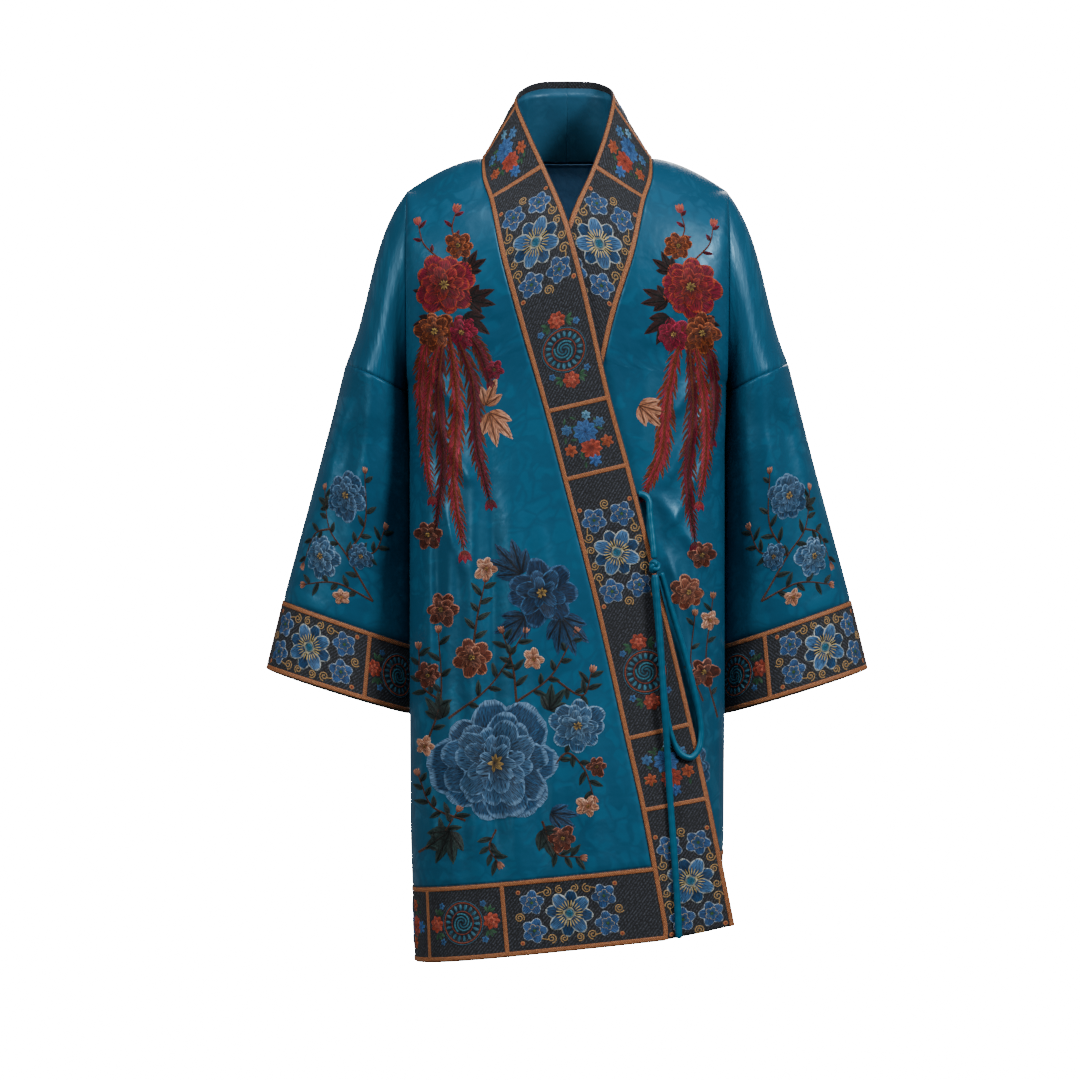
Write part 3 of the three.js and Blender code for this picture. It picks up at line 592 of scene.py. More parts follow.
def satin(name, lit, shade, glint, jacquard=1.0, pitch=34.0):
    """Woven satin: large soft jacquard areas from warped noise shine more and are painted towards
    the lit colour, a painted sheen, while large cloudy patches vary the tone at random. Fine
    diagonal threads and a slow unevenness give its bump."""
    made, tree, mm = cloth_material(name)
    warp = add(tree, "TexNoise", {"Vector": mm, "Scale": 1 / pitch, "Detail": 1.0})
    shift = add(tree, "VectorMath", {0: warp.outputs[1], 1: (40, 40, 0)}, operation="MULTIPLY")
    warped = add(tree, "VectorMath", {0: mm, 1: shift}, operation="ADD")
    leaves = add(tree, "TexNoise", {"Vector": warped, "Scale": 0.9 / pitch, "Detail": 2.5,
                                    "Distortion": 0.9})
    veins = add(tree, "TexVoronoi", {"Vector": warped, "Scale": 1.5 / pitch},
                feature="DISTANCE_TO_EDGE")
    edge = add(tree, "MapRange", {0: veins, 1: 0.0, 2: 0.22})
    filled = add(tree, "MapRange", {0: leaves, 1: 0.46, 2: 0.55})
    float_sheen_mask = add(tree, "Math", {0: filled, 1: edge}, operation="MULTIPLY")
    cloudy = add(tree, "TexNoise", {"Vector": mm, "Scale": 0.006, "Detail": 2.0})
    depth = add(tree, "Math", {0: float_sheen_mask, 1: 0.62 * jacquard}, operation="MULTIPLY")
    tone = add(tree, "Math", {0: depth, 1: cloudy}, operation="ADD", use_clamp=True)
    # painted sheen: the jacquard areas are painted towards the lit colour, and the cloudy noise
    # moves the tone at random between the two colours
    colour = add(tree, "Mix", {0: tone, 6: linear(shade), 7: linear(lit)}, data_type="RGBA")
    rough = add(tree, "MapRange", {0: float_sheen_mask, 3: 0.44, 4: 0.44 - 0.12 * jacquard})
    weave = add(tree, "TexWave", {"Vector": mm, "Scale": 0.55, "Distortion": 0.6, "Detail": 1.0},
                wave_type="BANDS", bands_direction="DIAGONAL")
    threads = add(tree, "Bump", {"Height": weave.outputs[1], "Strength": 0.12, "Distance": 0.0001})
    swell = add(tree, "TexNoise", {"Vector": mm, "Scale": 0.05, "Detail": 3.0})
    bump = add(tree, "Bump", {"Height": swell, "Strength": 0.5, "Distance": 0.002,
                              "Normal": threads})
    shader = add(tree, "BsdfPrincipled", {
        "Base Color": colour.outputs[2], "Roughness": rough, "Normal": bump,
        "Sheen Weight": 0.06, "Sheen Roughness": 0.35, "Sheen Tint": linear("#5aa0b8"),
        "Specular IOR Level": 0.75, "Specular Tint": linear(glint)})
    add(tree, "OutputMaterial", {"Surface": shader})
    return made


TEAL_SATIN = satin("teal_jacquard_satin", "#194963", "#0a3048", "#74aecb")
FACING_SATIN = satin("dark_teal_facing_satin", "#264d66", "#183c54", "#7aa6be", 0.9)
LINING_SATIN = satin("blue_lining_satin", "#5480aa", "#3f6b98", "#7aa6d0", 0.3)
TIE_SATIN = satin("tie_satin", "#14506a", "#0b3a52", "#6fb0c6", 0.2)
for name in ("tie_base", "tie_tail", "tie_loop"):
    tie[name][0].data.materials.append(TIE_SATIN)
knot.data.materials.append(TIE_SATIN)

# %% Brocade ground and copper tape
def twill(name, dark, fleck, pitch, amount, roughness, raised):
    """Twill: diagonal ribs broken into flecks by noise, which tints and raises them."""
    made, tree, mm = cloth_material(name)
    ribs = add(tree, "TexWave", {"Vector": mm, "Scale": 0.31 / pitch * 1.4,
                                 "Distortion": 0.8, "Detail": 1.0, "Detail Scale": 2.0},
               wave_type="BANDS", bands_direction="DIAGONAL")
    specks = add(tree, "TexNoise", {"Vector": mm, "Scale": 1.6 / pitch, "Detail": 3.0})
    sharp = add(tree, "MapRange", {0: specks, 1: 0.42, 2: 0.62})
    both = add(tree, "Math", {0: ribs.outputs[1], 1: sharp}, operation="MULTIPLY")
    share = add(tree, "Math", {0: both, 1: amount}, operation="MULTIPLY", use_clamp=True)
    colour = add(tree, "Mix", {0: share, 6: linear(dark), 7: linear(fleck)}, data_type="RGBA")
    bump = add(tree, "Bump", {"Height": both, "Strength": 0.7, "Distance": raised * MM})
    shader = add(tree, "BsdfPrincipled", {
        "Base Color": colour.outputs[2], "Roughness": roughness, "Normal": bump,
        "Specular IOR Level": 0.3, "Sheen Weight": 0.04, "Sheen Roughness": 0.5})
    add(tree, "OutputMaterial", {"Surface": shader})
    return made


BROCADE = twill("charcoal_twill_brocade", "#06080c", "#40454f", 3.2, 0.8, 0.8, 0.35)
TAPE = twill("copper_woven_tape", "#5e3218", "#b8784a", 1.7, 1.3, 0.5, 0.4)

# %% Stitched thread
stitched, tree, mm = cloth_material("silk_thread_needlework")
dye = add(tree, "Attribute", attribute_name="thread")
strands = add(tree, "TexWave", {"Vector": mm, "Scale": 0.38, "Distortion": 1.2, "Detail": 1.0},
              wave_type="BANDS", bands_direction="X")
streak_scale = add(tree, "VectorMath", {0: mm, 1: (1.4, 0.12, 1)}, operation="MULTIPLY")
streaks_of_tone_and_shade = add(tree, "TexNoise", {"Vector": streak_scale, "Scale": 1.0, "Detail": 2.0})
# painted shade: noise streaks along the threads darken the thread colour down to almost black, over
# a little uneven tone of the thread
light = add(tree, "MapRange", {0: streaks_of_tone_and_shade, 1: 0.36, 2: 0.64, 3: 0.07, 4: 0.94})
shade = add(tree, "VectorMath", {0: dye, "Scale": light}, operation="SCALE")
bump = add(tree, "Bump", {"Height": strands.outputs[1], "Strength": 0.8, "Distance": 0.0004})
shader = add(tree, "BsdfPrincipled", {
    "Base Color": shade, "Roughness": 0.55, "Normal": bump,
    "Specular IOR Level": 0.22, "Sheen Weight": 0.03, "Sheen Roughness": 0.35})
add(tree, "OutputMaterial", {"Surface": shader})
print("materials:", len(bpy.data.materials))

# %% [markdown]
# ## Fronts and their bands
# Each front is one satin panel from the shoulder to its hem band, and a brocade band runs from
# the centre of the back round the neck and down the front's edge to the hem. Under the band the
# panel is tucked in by the thickness of the cloth, which gives the seam its small step, as sewing
# does.

# %% Band tables
# Seam edge and free edge as x, y, z. Round the neck only the free edge is needed, and where y is
# None the band lies on the body.
SATIN_THICK, BAND_THICK, LINING_THICK = 2.0, 2.4, 1.0
FACING_GAP, LINING_GAP = 0.6, 0.4        # air behind a band and behind the back's satin
FACING_END = -70                # height where the collar facing ends
TUCK, TUCK_RUN = 2.4, 3.0       # how far a tucked edge goes in, and how far past the seam it runs
FREE_NECK = [(0, 52, 104), (33, 46, 102), (51, 27, 94)]
OVER_EDGES = [
    ((-102, -5, 6), (-60, -6, 77)), ((-100, None, -25), (-45, -36, 36)),
    ((-92, None, -50), (-25, -66, -10)), ((-79, None, -115), (-3, -88, -62)),
    ((-60, None, -186), (20, None, -145)), ((-27, None, -300), (51, None, -282)),
    ((-6, None, -380), (73, None, -361)), ((30, None, -520), (108, None, -500)),
    ((67, None, -684), (148, None, -666)), ((86, None, -768), (168, None, -754)),
    ((114, None, -921), (199, None, -906)),
]
UNDER_EDGES = [
    ((102, -5, 6), (54, -6, 79)), ((100, None, -25), (44, -34, 36)),
    ((92, None, -50), (28, -60, -10)), ((79, None, -112), (5, -79, -62)),
    ((56, None, -186), (-22, None, -145)), ((30, None, -300), (-48, None, -282)),
    ((9, None, -380), (-67, None, -361)), ((-19, None, -520), (-95, None, -500)),
    ((-42, None, -684), (-118, None, -666)), ((-52, None, -768), (-130, None, -754)),
    ((-66, None, -938), (-146, None, -944)),
]


# %% Lines of a front
class Front:
    """One front: its side of the body, its surface, its hem and the two edges of its band."""

    def __init__(self, name, side, surface, table, hem):
        self.name, self.side, self.surface, self.hem = name, side, surface, hem
        seam_rows, free_rows = ([(x, surface(float(x), float(z)) if y is None else y, z)
                                 for x, y, z in edge] for edge in zip(*table))
        free_rows = [(side * x, y, z) for x, y, z in FREE_NECK] + free_rows
        self.shoulder = len(FREE_NECK) / (len(free_rows) - 1)
        self.free = lambda share: spline(free_rows, share)
        self.seam_t = np.linspace(0, 1, 4000)
        self.seam_line = spline(seam_rows, self.seam_t)

    def seam_share(self, z):
        """Share of the seam curve at a height."""
        return np.interp(-z, -self.seam_line[:, 2], self.seam_t)

    def seam_x(self, z):
        """Where the seam is at a height."""
        return np.interp(-z, -self.seam_line[:, 2], self.seam_line[:, 0])

    def band_top(self, x):
        """Height of the hem band's upper edge."""
        return self.hem(x) + HEM_BAND

    def meet(self, line):
        """Height where the seam crosses a slanted line."""
        z = line(0.0)
        for _ in range(12):
            z = line(self.seam_x(z))
        return z


fronts = [Front("right", -1, over_y, OVER_EDGES, hem_z),
          Front("left", 1, under_y, UNDER_EDGES, under_hem_z)]
print("seams meet the hems at", [round(float(f.meet(f.hem)), 1) for f in fronts])


# %% Panels of the fronts
ARM_ROWS, FRONT_ROWS, FRONT_COLUMNS = 52, 100, 100
BACK_ROWS, BACK_COLUMNS = 92, 120
HEM_ROWS, HEM_COLUMNS = 22, 90
HEM_PAST = 1.5                  # how far a hem band runs on under the neck band
STEP_BEFORE, STEP_RUN = 1.5, 3.5         # where the soft step of a tucked seam starts, its length


def side_heights(end, side_rows):
    """Heights down a side: close together round the armhole's ends, then even to the hem band."""
    arm = ARM_MIDDLE + ARM_HALF * np.cos(np.linspace(0, np.pi, ARM_ROWS))
    return np.concatenate([arm, np.linspace(ARM_LOW, end, side_rows + 1)[1:]])


def front_points(front, side_z, seam_z, shoulder, cols, past=0.0):
    """Grid of a front from its side to `past` millimetres over the band's seam. Columns crowd
    towards the side. Rows near the top follow the shoulder line by their share `shoulder`."""
    s = 1 - np.cos(np.linspace(0, np.pi / 2, cols))
    x_side = front.side * body_half(side_z)[:, None]
    x_end = front.seam_x(seam_z)[:, None] - front.side * past
    x = mix(x_side, x_end, s)
    z = mix(side_z[:, None], seam_z[:, None], s)
    z = z + (shoulder_z(x) - mix(ARM_TOP, NECK_Z, s)) * shoulder[:, None]
    return np.stack([x, np.minimum(front.surface(x, z), MID_Y), z], -1)


def tucked(distance):
    """Share of a tuck at a distance past a seam, with a soft step that starts before the seam."""
    return smooth((distance + STEP_BEFORE) / STEP_RUN)


for front in fronts:
    x_side = front.side * body_half(HEM_MIDDLE + HEM_BAND)
    end = front.band_top(x_side) - TUCK_RUN
    side_z = side_heights(end, FRONT_ROWS)
    share = (side_z - side_z[0]) / (side_z[-1] - side_z[0])
    seam_z = mix(NECK_Z, front.meet(front.band_top) - TUCK_RUN, share)
    shoulder = (1 - smooth(share / 0.3)) ** 6
    points = front_points(front, side_z, seam_z, shoulder, FRONT_COLUMNS, TUCK_RUN)
    past_seam = (front.seam_x(points[..., 2]) - points[..., 0]) * front.side
    below = front.band_top(points[..., 0]) - points[..., 2]
    cloth = Cloth(points, np.array([0.2 * front.side, -1.0, 0.3]))
    cloth.push(np.maximum(tucked(past_seam), tucked(below)) * TUCK)
    wall(f"front_{front.name}", cloth, SATIN_THICK, TEAL_SATIN)

# %% Hem bands of the fronts
# Axis one runs along the hem from the side to the neck band, axis two down the band's height.
for front in fronts:
    t = np.linspace(0, 1, HEM_ROWS)
    x_side = front.side * body_half(HEM_MIDDLE)
    side_z = mix(front.band_top(x_side), front.hem(x_side), t)
    seam_z = mix(front.meet(front.band_top), front.meet(front.hem), t)
    points = front_points(front, side_z, seam_z, t * 0, HEM_COLUMNS, HEM_PAST)
    cloth = Cloth(np.swapaxes(points, 0, 1), np.array([0.1 * front.side, -1.0, 0.1]))
    wall(f"hem_band_{front.name}", cloth, BAND_THICK, BROCADE, nose="right")

# %% Neck bands
NECK_ROWS, EDGE_ROWS = 70, 300  # rows round the neck and down the front
for front in fronts:
    t = np.linspace(0, 1, NECK_ROWS)
    x = front.side * NECK_HALF * np.sin(np.pi / 2 * t)
    neck_seam = np.stack([x, back_y(x, NECK_Z + 0 * x), NECK_Z + 0 * x], 1)
    neck_free = front.free(t * front.shoulder)
    z = np.linspace(NECK_Z, front.meet(front.hem), EDGE_ROWS)[1:]
    share = front.seam_share(z)
    coarse = front.seam_line[::40]
    seam = spline(coarse, np.interp(-z, -coarse[:, 2], np.linspace(0, 1, len(coarse))))
    seam[:, 2] = z
    seam[:, 1] = front.surface(seam[:, 0], z)
    free = front.free(mix(front.shoulder, 1, share))
    seam, free = np.concatenate([neck_seam, seam]), np.concatenate([neck_free, free])
    seam[0, 0] = free[0, 0] = -0.05 * front.side
    across = np.concatenate([[0, 0.006, 0.015], np.linspace(0.03, 0.97, 18), [0.985, 0.994, 1]])
    points = mix(seam[:, None], free[:, None], across[None, :, None])
    # in front the band comes down on the body: at once at its seam, slowly at its free edge
    start, fall = mix(NECK_Z, -10, across), mix(2, 80, across)
    settled = np.clip((start - points[..., 2]) / fall, 0, 1) * (points[..., 1] < 0)
    points[..., 1] = mix(points[..., 1], front.surface(points[..., 0], points[..., 2]), settled)
    out = points - np.array([0.0, 20.0, 0.0])
    out[..., 2] = 0
    cloth = Cloth(points, out)
    wall(f"neck_band_{front.name}", cloth, BAND_THICK, BROCADE,
         nose="first last left right")
    near_neck = points[:, 0, 2] > FACING_END
    lining = Cloth(points[near_neck][:, 1:-3:2], out[near_neck][:, 1:-3:2])
    wall(f"collar_facing_{front.name}", lining, LINING_THICK, FACING_SATIN,
         nose="last left right", under=BAND_THICK + FACING_GAP)

# %% [markdown]
# ## Back and lining
# No photo shows the back, so it is one plain panel with soft hanging folds. Its hem band carries
# on from the fronts. A blue lining shows through the neck, so only its upper part is built.

# %% Back panel, hem band and lining
def back_points(z_of, columns):
    """Grid of the back: rows are heights as functions of x, columns shares of the half width."""
    rows = []
    for line in z_of:
        x = columns * body_half(line(columns * ARMHOLE_X))
        rows.append(np.stack([x, np.maximum(back_y(x, line(x)), MID_Y), line(x)], -1))
    return np.stack(rows)


def back_cloth(points):
    """The cloth of a grid of the back, whose outer side also faces up at the shoulders."""
    return Cloth(points, np.stack([0.1 * points[..., 0], points[..., 1] - MID_Y + 1,
                                   np.where(points[..., 2] > -60, 30.0, 0.0)], -1))


columns = np.sin(np.linspace(-np.pi / 2, np.pi / 2, BACK_COLUMNS))
back_top = lambda x: hem_z(x) + HEM_BAND
x_side = body_half(HEM_MIDDLE + HEM_BAND)
right_z = side_heights(back_top(-x_side) - TUCK_RUN, BACK_ROWS)
left_z = side_heights(back_top(x_side) - TUCK_RUN, BACK_ROWS)


def back_line(zr, zl, share):
    """Height of one row of the back: straight between the sides, bowed up to the shoulders at the
    top and along the curved hem band at the bottom."""
    def line(x):
        u = np.clip(0.5 + x / (2 * body_half(zr)), 0, 1)
        straight_end = mix(right_z[-1], left_z[-1], u)
        return (mix(zr, zl, u) + (shoulder_z(x) - ARM_TOP) * (1 - share) ** 4
                + (back_top(x) - TUCK_RUN - straight_end) * share ** 3)
    return line


shares = (right_z - right_z[0]) / (right_z[-1] - right_z[0])
lines = [back_line(*row) for row in zip(right_z, left_z, shares)]
points = back_points(lines, columns)
in_neck = smooth((points[..., 2] - NECK_Z + 4) / 4) * (np.abs(points[..., 0]) < NECK_HALF - 2)
points[..., 2] += in_neck * TUCK_RUN
back = back_cloth(points)
below = back_top(points[..., 0]) - points[..., 2]
back.push(np.maximum(in_neck, tucked(below)) * TUCK)
wall("back_panel", back, SATIN_THICK, TEAL_SATIN)
strip = [lambda x, t=t: mix(back_top(x), hem_z(x), t) for t in np.linspace(0, 1, HEM_ROWS)]
hem_back = Cloth(np.swapaxes(back_points(strip, columns), 0, 1), np.array([0.0, 1.0, 0.0]))
wall("hem_band_back", hem_back, BAND_THICK, BROCADE, nose="right")
# the lining takes every second row of the upper back and every second column between the seams
upper, inner = slice(0, 58, 2), slice(6, -6, 2)
points = back_points(lines[upper], columns[inner])
points[..., 2] += in_neck[upper, inner] * TUCK_RUN
wall("back_lining", back_cloth(points), LINING_THICK, LINING_SATIN,
     under=SATIN_THICK + TUCK + LINING_GAP)

# %% [markdown]
# ## Sleeves
# The shoulder of the body runs on past the armhole to a dropped seam, and the wide sleeve is sewn
# on there. Both are tubes through slanted rings. Each one's end is tucked in and runs on under the
# next piece, so that no gap shows. Folds run down the sleeve and fade at its seams.

# %% Rings of a sleeve
# middle x, y, z, half size across and front to back, and tilt in degrees, on the wearer's left
DROP_SEAM = (227.2, 24, -256, 42.4, 80, 25)
ELBOW = (236.2, 34, -346, 56, 76, 22)
CUFF_TOP = (263, 40, -549, 83, 62, 19)
CUFF_END = (274, 40, -632, 92, 65, 17)
CUFF_BACK_DROP = 7              # the back of the cuff hangs lower than its front
CAP_WAY = (0.62, 0, -0.78)      # direction in which the cap leaves the armhole
AROUND, CAP_ROWS, SLEEVE_ROWS, UNDER_ROWS = 132, 40, 62, 3
EASE = 0.2                      # how far the cap's ring lies inside the armhole
angle = np.linspace(0, 2 * np.pi, AROUND, endpoint=False) - np.pi / 2   # the join is at the back


def sleeve_ring(side, ring, drop=0.0):
    """Points of a slanted ring. Angle 0 is the outer line and a quarter turn is the front."""
    x, y, z, across, deep, tilt = ring
    tilt = np.radians(tilt)
    return np.stack([side * (x + across * np.cos(angle) * np.cos(tilt)), y - deep * np.sin(angle),
                     z + across * np.cos(angle) * np.sin(tilt)
                     - drop * np.maximum(0, -np.sin(angle))], -1)


def ring_axis(side, ring):
    """Direction down the sleeve at a ring."""
    tilt = np.radians(ring[5])
    return np.array([side * np.sin(tilt), 0, -np.cos(tilt)])


def tube_cloth(points, top, low, t):
    """The cloth of a tube, which faces away from the line between the middles of its two ends. The
    rows past the shares t belong to the low end."""
    t = np.append(t, np.ones(points.shape[1] - t.size))
    return Cloth(points, points - mix(top, low, t[None, :, None]), ring=True)


def run_under(points, way):
    """Adds rows past the end of a tube, which go on the given way, to lie under the next piece."""
    more = points[:, -1:] + way * np.linspace(0, TUCK_RUN, UNDER_ROWS + 1)[1:, None]
    return np.concatenate([points, more], axis=1)


def tuck_end(cloth):
    """Pushes the last rows of a tube in under the next piece, with a soft step before them."""
    share = np.zeros(cloth.points.shape[1])
    share[-UNDER_ROWS - 1:] = 0.35, 0.8, 1, 1
    return cloth.push(np.broadcast_to(TUCK * share, cloth.points.shape[:2]))


def sleeve_folds(t, a, side):
    """Soft folds down a sleeve, deeper towards the elbow on the inner side."""
    waves = (4.2 * np.cos(5 * a + 0.7) * np.sin(a)
             + 2.4 * np.cos(9 * a + 2 + 2 * t) * np.sin(a) ** 2)
    near_elbow = np.exp(-((t - 0.35) / 0.25) ** 2)
    creases = 5.0 * np.sin(9 * t + 3 * a + side) * near_elbow * np.cos(a / 2) ** 2
    return (waves + creases) * np.sin(np.pi * t) ** 2


for name, side in [("right", -1), ("left", 1)]:
    # the cap leaves the armhole outwards and bends down into the sleeve, by a Hermite blend
    first = np.stack([side * (ARMHOLE_X - 3 * EASE) + 0 * angle,
                      MID_Y - (ARM_DEPTH - EASE) * np.sin(angle),
                      ARM_MIDDLE + (ARM_HALF - EASE) * np.cos(angle)], -1)
    second = sleeve_ring(side, DROP_SEAM)
    reach = np.linalg.norm(second - first, axis=1)[:, None, None]
    t = np.linspace(0, 1, CAP_ROWS)[None, :, None]
    leave, arrive = CAP_WAY * np.array([side, 1, 1]), ring_axis(side, DROP_SEAM)
    cap = (mix(first[:, None], second[:, None], t * t * (3 - 2 * t))
           + leave * reach * (t ** 3 - 2 * t ** 2 + t) + arrive * reach * (t ** 3 - t ** 2))
    arm, drop, low, end = (np.array([side * x, y, z]) for x, y, z in (
        (ARMHOLE_X, MID_Y, ARM_MIDDLE), DROP_SEAM[:3], CUFF_TOP[:3], CUFF_END[:3]))
    cap = run_under(cap, arrive)
    wall(f"upper_sleeve_{name}", tuck_end(tube_cloth(cap, arm, drop, t)), SATIN_THICK,
         TEAL_SATIN)

    rings = np.stack([sleeve_ring(side, ring) for ring in (DROP_SEAM, ELBOW, CUFF_TOP)])
    t = np.linspace(0, 1, SLEEVE_ROWS)
    sleeve = np.swapaxes(spline(rings, t), 0, 1)
    sleeve[..., 1] += sleeve_folds(t[None, :], angle[:, None], side)
    sleeve = run_under(sleeve, ring_axis(side, CUFF_TOP))
    wall(f"sleeve_{name}", tuck_end(tube_cloth(sleeve, drop, low, t)), SATIN_THICK, TEAL_SATIN,
         nose="left")

    t = np.concatenate([[0, 0.008, 0.02], np.linspace(0.04, 0.96, 18), [0.98, 0.992, 1]])
    cuff = mix(sleeve_ring(side, CUFF_TOP)[:, None],
               sleeve_ring(side, CUFF_END, CUFF_BACK_DROP)[:, None], t[None, :, None])
    wall(f"cuff_{name}", tube_cloth(cuff, low, end, t), BAND_THICK, BROCADE,
         nose="left right")

# %% [markdown]
# ## Needlework tools
# The flowers on the brocade and on the satin are raised stitches, so they are built as thin domed
# patches that lie on the cloth. A patch is drawn flat in millimetres and then placed on the
# surface. Three kinds are enough: petals, which also make leaves and rays, strokes, which make
# stems and scrolls, and discs. Each patch carries its thread's colour and the direction of its
# stitches.

# %% Needlework
SINK = 0.12                     # how far the edge of a patch is sewn into the cloth


def rgb(colour):
    """The three linear values of an sRGB hex string."""
    return np.array(linear(colour)[:3])


def patches(*values):
    """Values for each patch, stretched to one length and ready for rows and columns."""
    return [np.atleast_1d(np.asarray(a, float))[:, None, None]
            for a in np.broadcast_arrays(*values)]


class Needlework:
    """Collects patches. `onto(u, v, height)` puts flat millimetres on a cloth."""

    def __init__(self, onto, seed):
        self.onto, self.rng = onto, np.random.default_rng(seed)
        self.points, self.quads, self.colours, self.uv, self.count = [], [], [], [], 0

    def add(self, u, v, height, colour, across, along):
        """Adds patches. u and v have the shape patches x rows x columns, and the rest fit it."""
        n, rows, cols = u.shape
        self.points.append(self.onto(u, v, height).reshape(-1, 3))
        self.colours.append(np.broadcast_to(colour, (n, rows, cols, 3)).reshape(-1, 3))
        cells = grid_faces(rows, cols)[2]
        quads = (np.arange(n)[:, None, None] * rows * cols + cells).reshape(-1, 4)
        coords = np.stack(np.broadcast_arrays(across, along, u)[:2], -1).reshape(-1, 2)
        self.uv.append(coords[quads].reshape(-1, 2))
        self.quads.append(quads + self.count)
        self.count += n * rows * cols

    def petals(self, u, v, angle, length, width, inner, outer, edge=None, plump=(0.85, 0.5),
               lift=0.8, base=0.0, bend=0.0, start=0.0, fade=1.0, fine=1):
        """Petals or leaves that start at u, v and point along their angles. The half width follows
        sin(pi t^a)^b. The colour runs from inner to outer, or to edge along the outline."""
        u, v, angle, length, width, bend, base = patches(u, v, angle, length, width, bend, base)
        if edge:
            t = np.concatenate([np.linspace(0.02, 0.8, 5 * fine), [0.88, 0.93, 0.99]])
            s = np.concatenate([[-1, -0.84], np.linspace(-0.76, 0.76, 4 * fine - 1), [0.84, 1]])
        else:
            t, s = np.linspace(0.02, 0.99, 4 + 2 * fine), np.linspace(-1, 1, 3 + 2 * fine)
        t, s = t[None, :, None], s[None, None, :]
        a = start + length * t
        b = width / 2 * np.sin(np.pi * t ** plump[0]) ** plump[1] * s + bend * length * t * t
        height = base + lift * np.sqrt(1 - np.abs(s) ** 3) * np.sin(np.pi * t) ** 0.3 - 0.15
        tone = self.rng.uniform(0.8, 1.2, (u.shape[0], 1, 1, 1))
        colour = mix(rgb(inner), rgb(outer), (t ** fade)[..., None]) * tone
        if edge:
            outline = np.maximum(np.abs(s) > 0.8, t > 0.9)
            colour = mix(colour, rgb(edge) * tone ** 0.5, outline[..., None])
        cos, sin = np.cos(angle), np.sin(angle)
        self.add(u + cos * a - sin * b, v + sin * a + cos * b, height, colour, b,
                 a + self.rng.uniform(0, 50))

    def stroke(self, path, width, colour, lift=0.6, base=0.0, tip=1.0):
        """A raised line of stitches through the points of a path, narrowing to `tip` of its width.
        Its colour may change from the first to the second of a pair."""
        path = np.asarray(path, float)
        way = np.gradient(path, axis=0)
        way = way / np.maximum(np.hypot(*way.T), 1e-6)[:, None]
        share = np.linspace(0, 1, len(path))[:, None]
        s = np.array([-1, -0.5, 0.5, 1])[None]
        b = width / 2 * mix(1, tip, share) * s
        first, last = colour if isinstance(colour, tuple) else (colour, colour)
        tint = mix(rgb(first), rgb(last), share[..., None])
        self.add((path[:, :1] - way[:, 1:] * b)[None], (path[:, 1:] + way[:, :1] * b)[None],
                 base + lift * np.sqrt(1 - s * s) - SINK, tint, lengths(path)[:, None], b)

    def disc(self, u, v, radius, colours, lift=0.5, base=0.0):
        """Round domed spots. Their colours run from the middle to the edge."""
        u, v = patches(u, v)
        share = np.linspace(0.02, 1, 2 + 2 * len(colours))
        stops, tones = np.linspace(0, 1, len(colours)), np.transpose([rgb(c) for c in colours])
        tint = np.stack([np.interp(share, stops, row) for row in tones], -1)[:, None]
        r, a = share[None, :, None] * radius, np.linspace(0, 2 * np.pi, 17)
        height = base + lift * np.sqrt(np.clip(1 - (r / radius) ** 2, 0, 1)) - SINK
        self.add(u + r * np.cos(a), v + r * np.sin(a), height, tint, r, a * radius)

    def finish(self, name):
        """One mesh of all the patches, with the needlework finish."""
        colour = np.concatenate([np.concatenate(self.colours), np.ones((self.count, 1))], 1)
        made = build_mesh(name, np.concatenate(self.points), np.concatenate(self.quads), (),
                          np.concatenate(self.uv) * MM, colour)
        made.data.materials.append(stitched)
        print(name, len(made.data.polygons), "faces")
        return made


def ringed(count, turn=0.0):
    """Angles of petals spread evenly round a flower."""
    return turn + np.arange(count) * 2 * np.pi / count


def spiral(u, v, radius, start, turns, hand=1):
    """Points of a spiral that winds in to its middle at u, v."""
    t = np.linspace(0, 1, 22)
    a, r = start + hand * 2 * np.pi * turns * t, radius * (1 - 0.82 * t)
    return np.stack([u + r * np.cos(a), v + r * np.sin(a)], 1)


# %% [markdown]
# ## Brocade pattern
# The bands carry a common pattern of old brocade: a lotus with four small flowers and scrolls, a
# round medallion between red flowers, and a small mixed bunch, each in a cell closed by copper
# tape.

# %% Motifs of the brocade
GOLD = "#c49c66"
NARROW = (0.9, 0.9)             # pointed at both ends, as a leaf


def small_flower(work, u, v, size, turn):
    """Five blue petals with a pale outline, and a smaller flower of five inside."""
    a = ringed(5, turn)
    work.petals(u, v, a, size, size * 0.95, "#12305a", "#3a66a0", "#a9b8c8", (0.85, 0.55),
                start=1.0)
    work.petals(u, v, a + 0.6, size * 0.52, size * 0.5, "#24486f", "#3f6797", "#c9b48a", lift=0.5,
                base=0.7, start=0.6)
    work.disc(u, v, size * 0.13, ["#4c7a3c", "#31562c"], base=1.1)


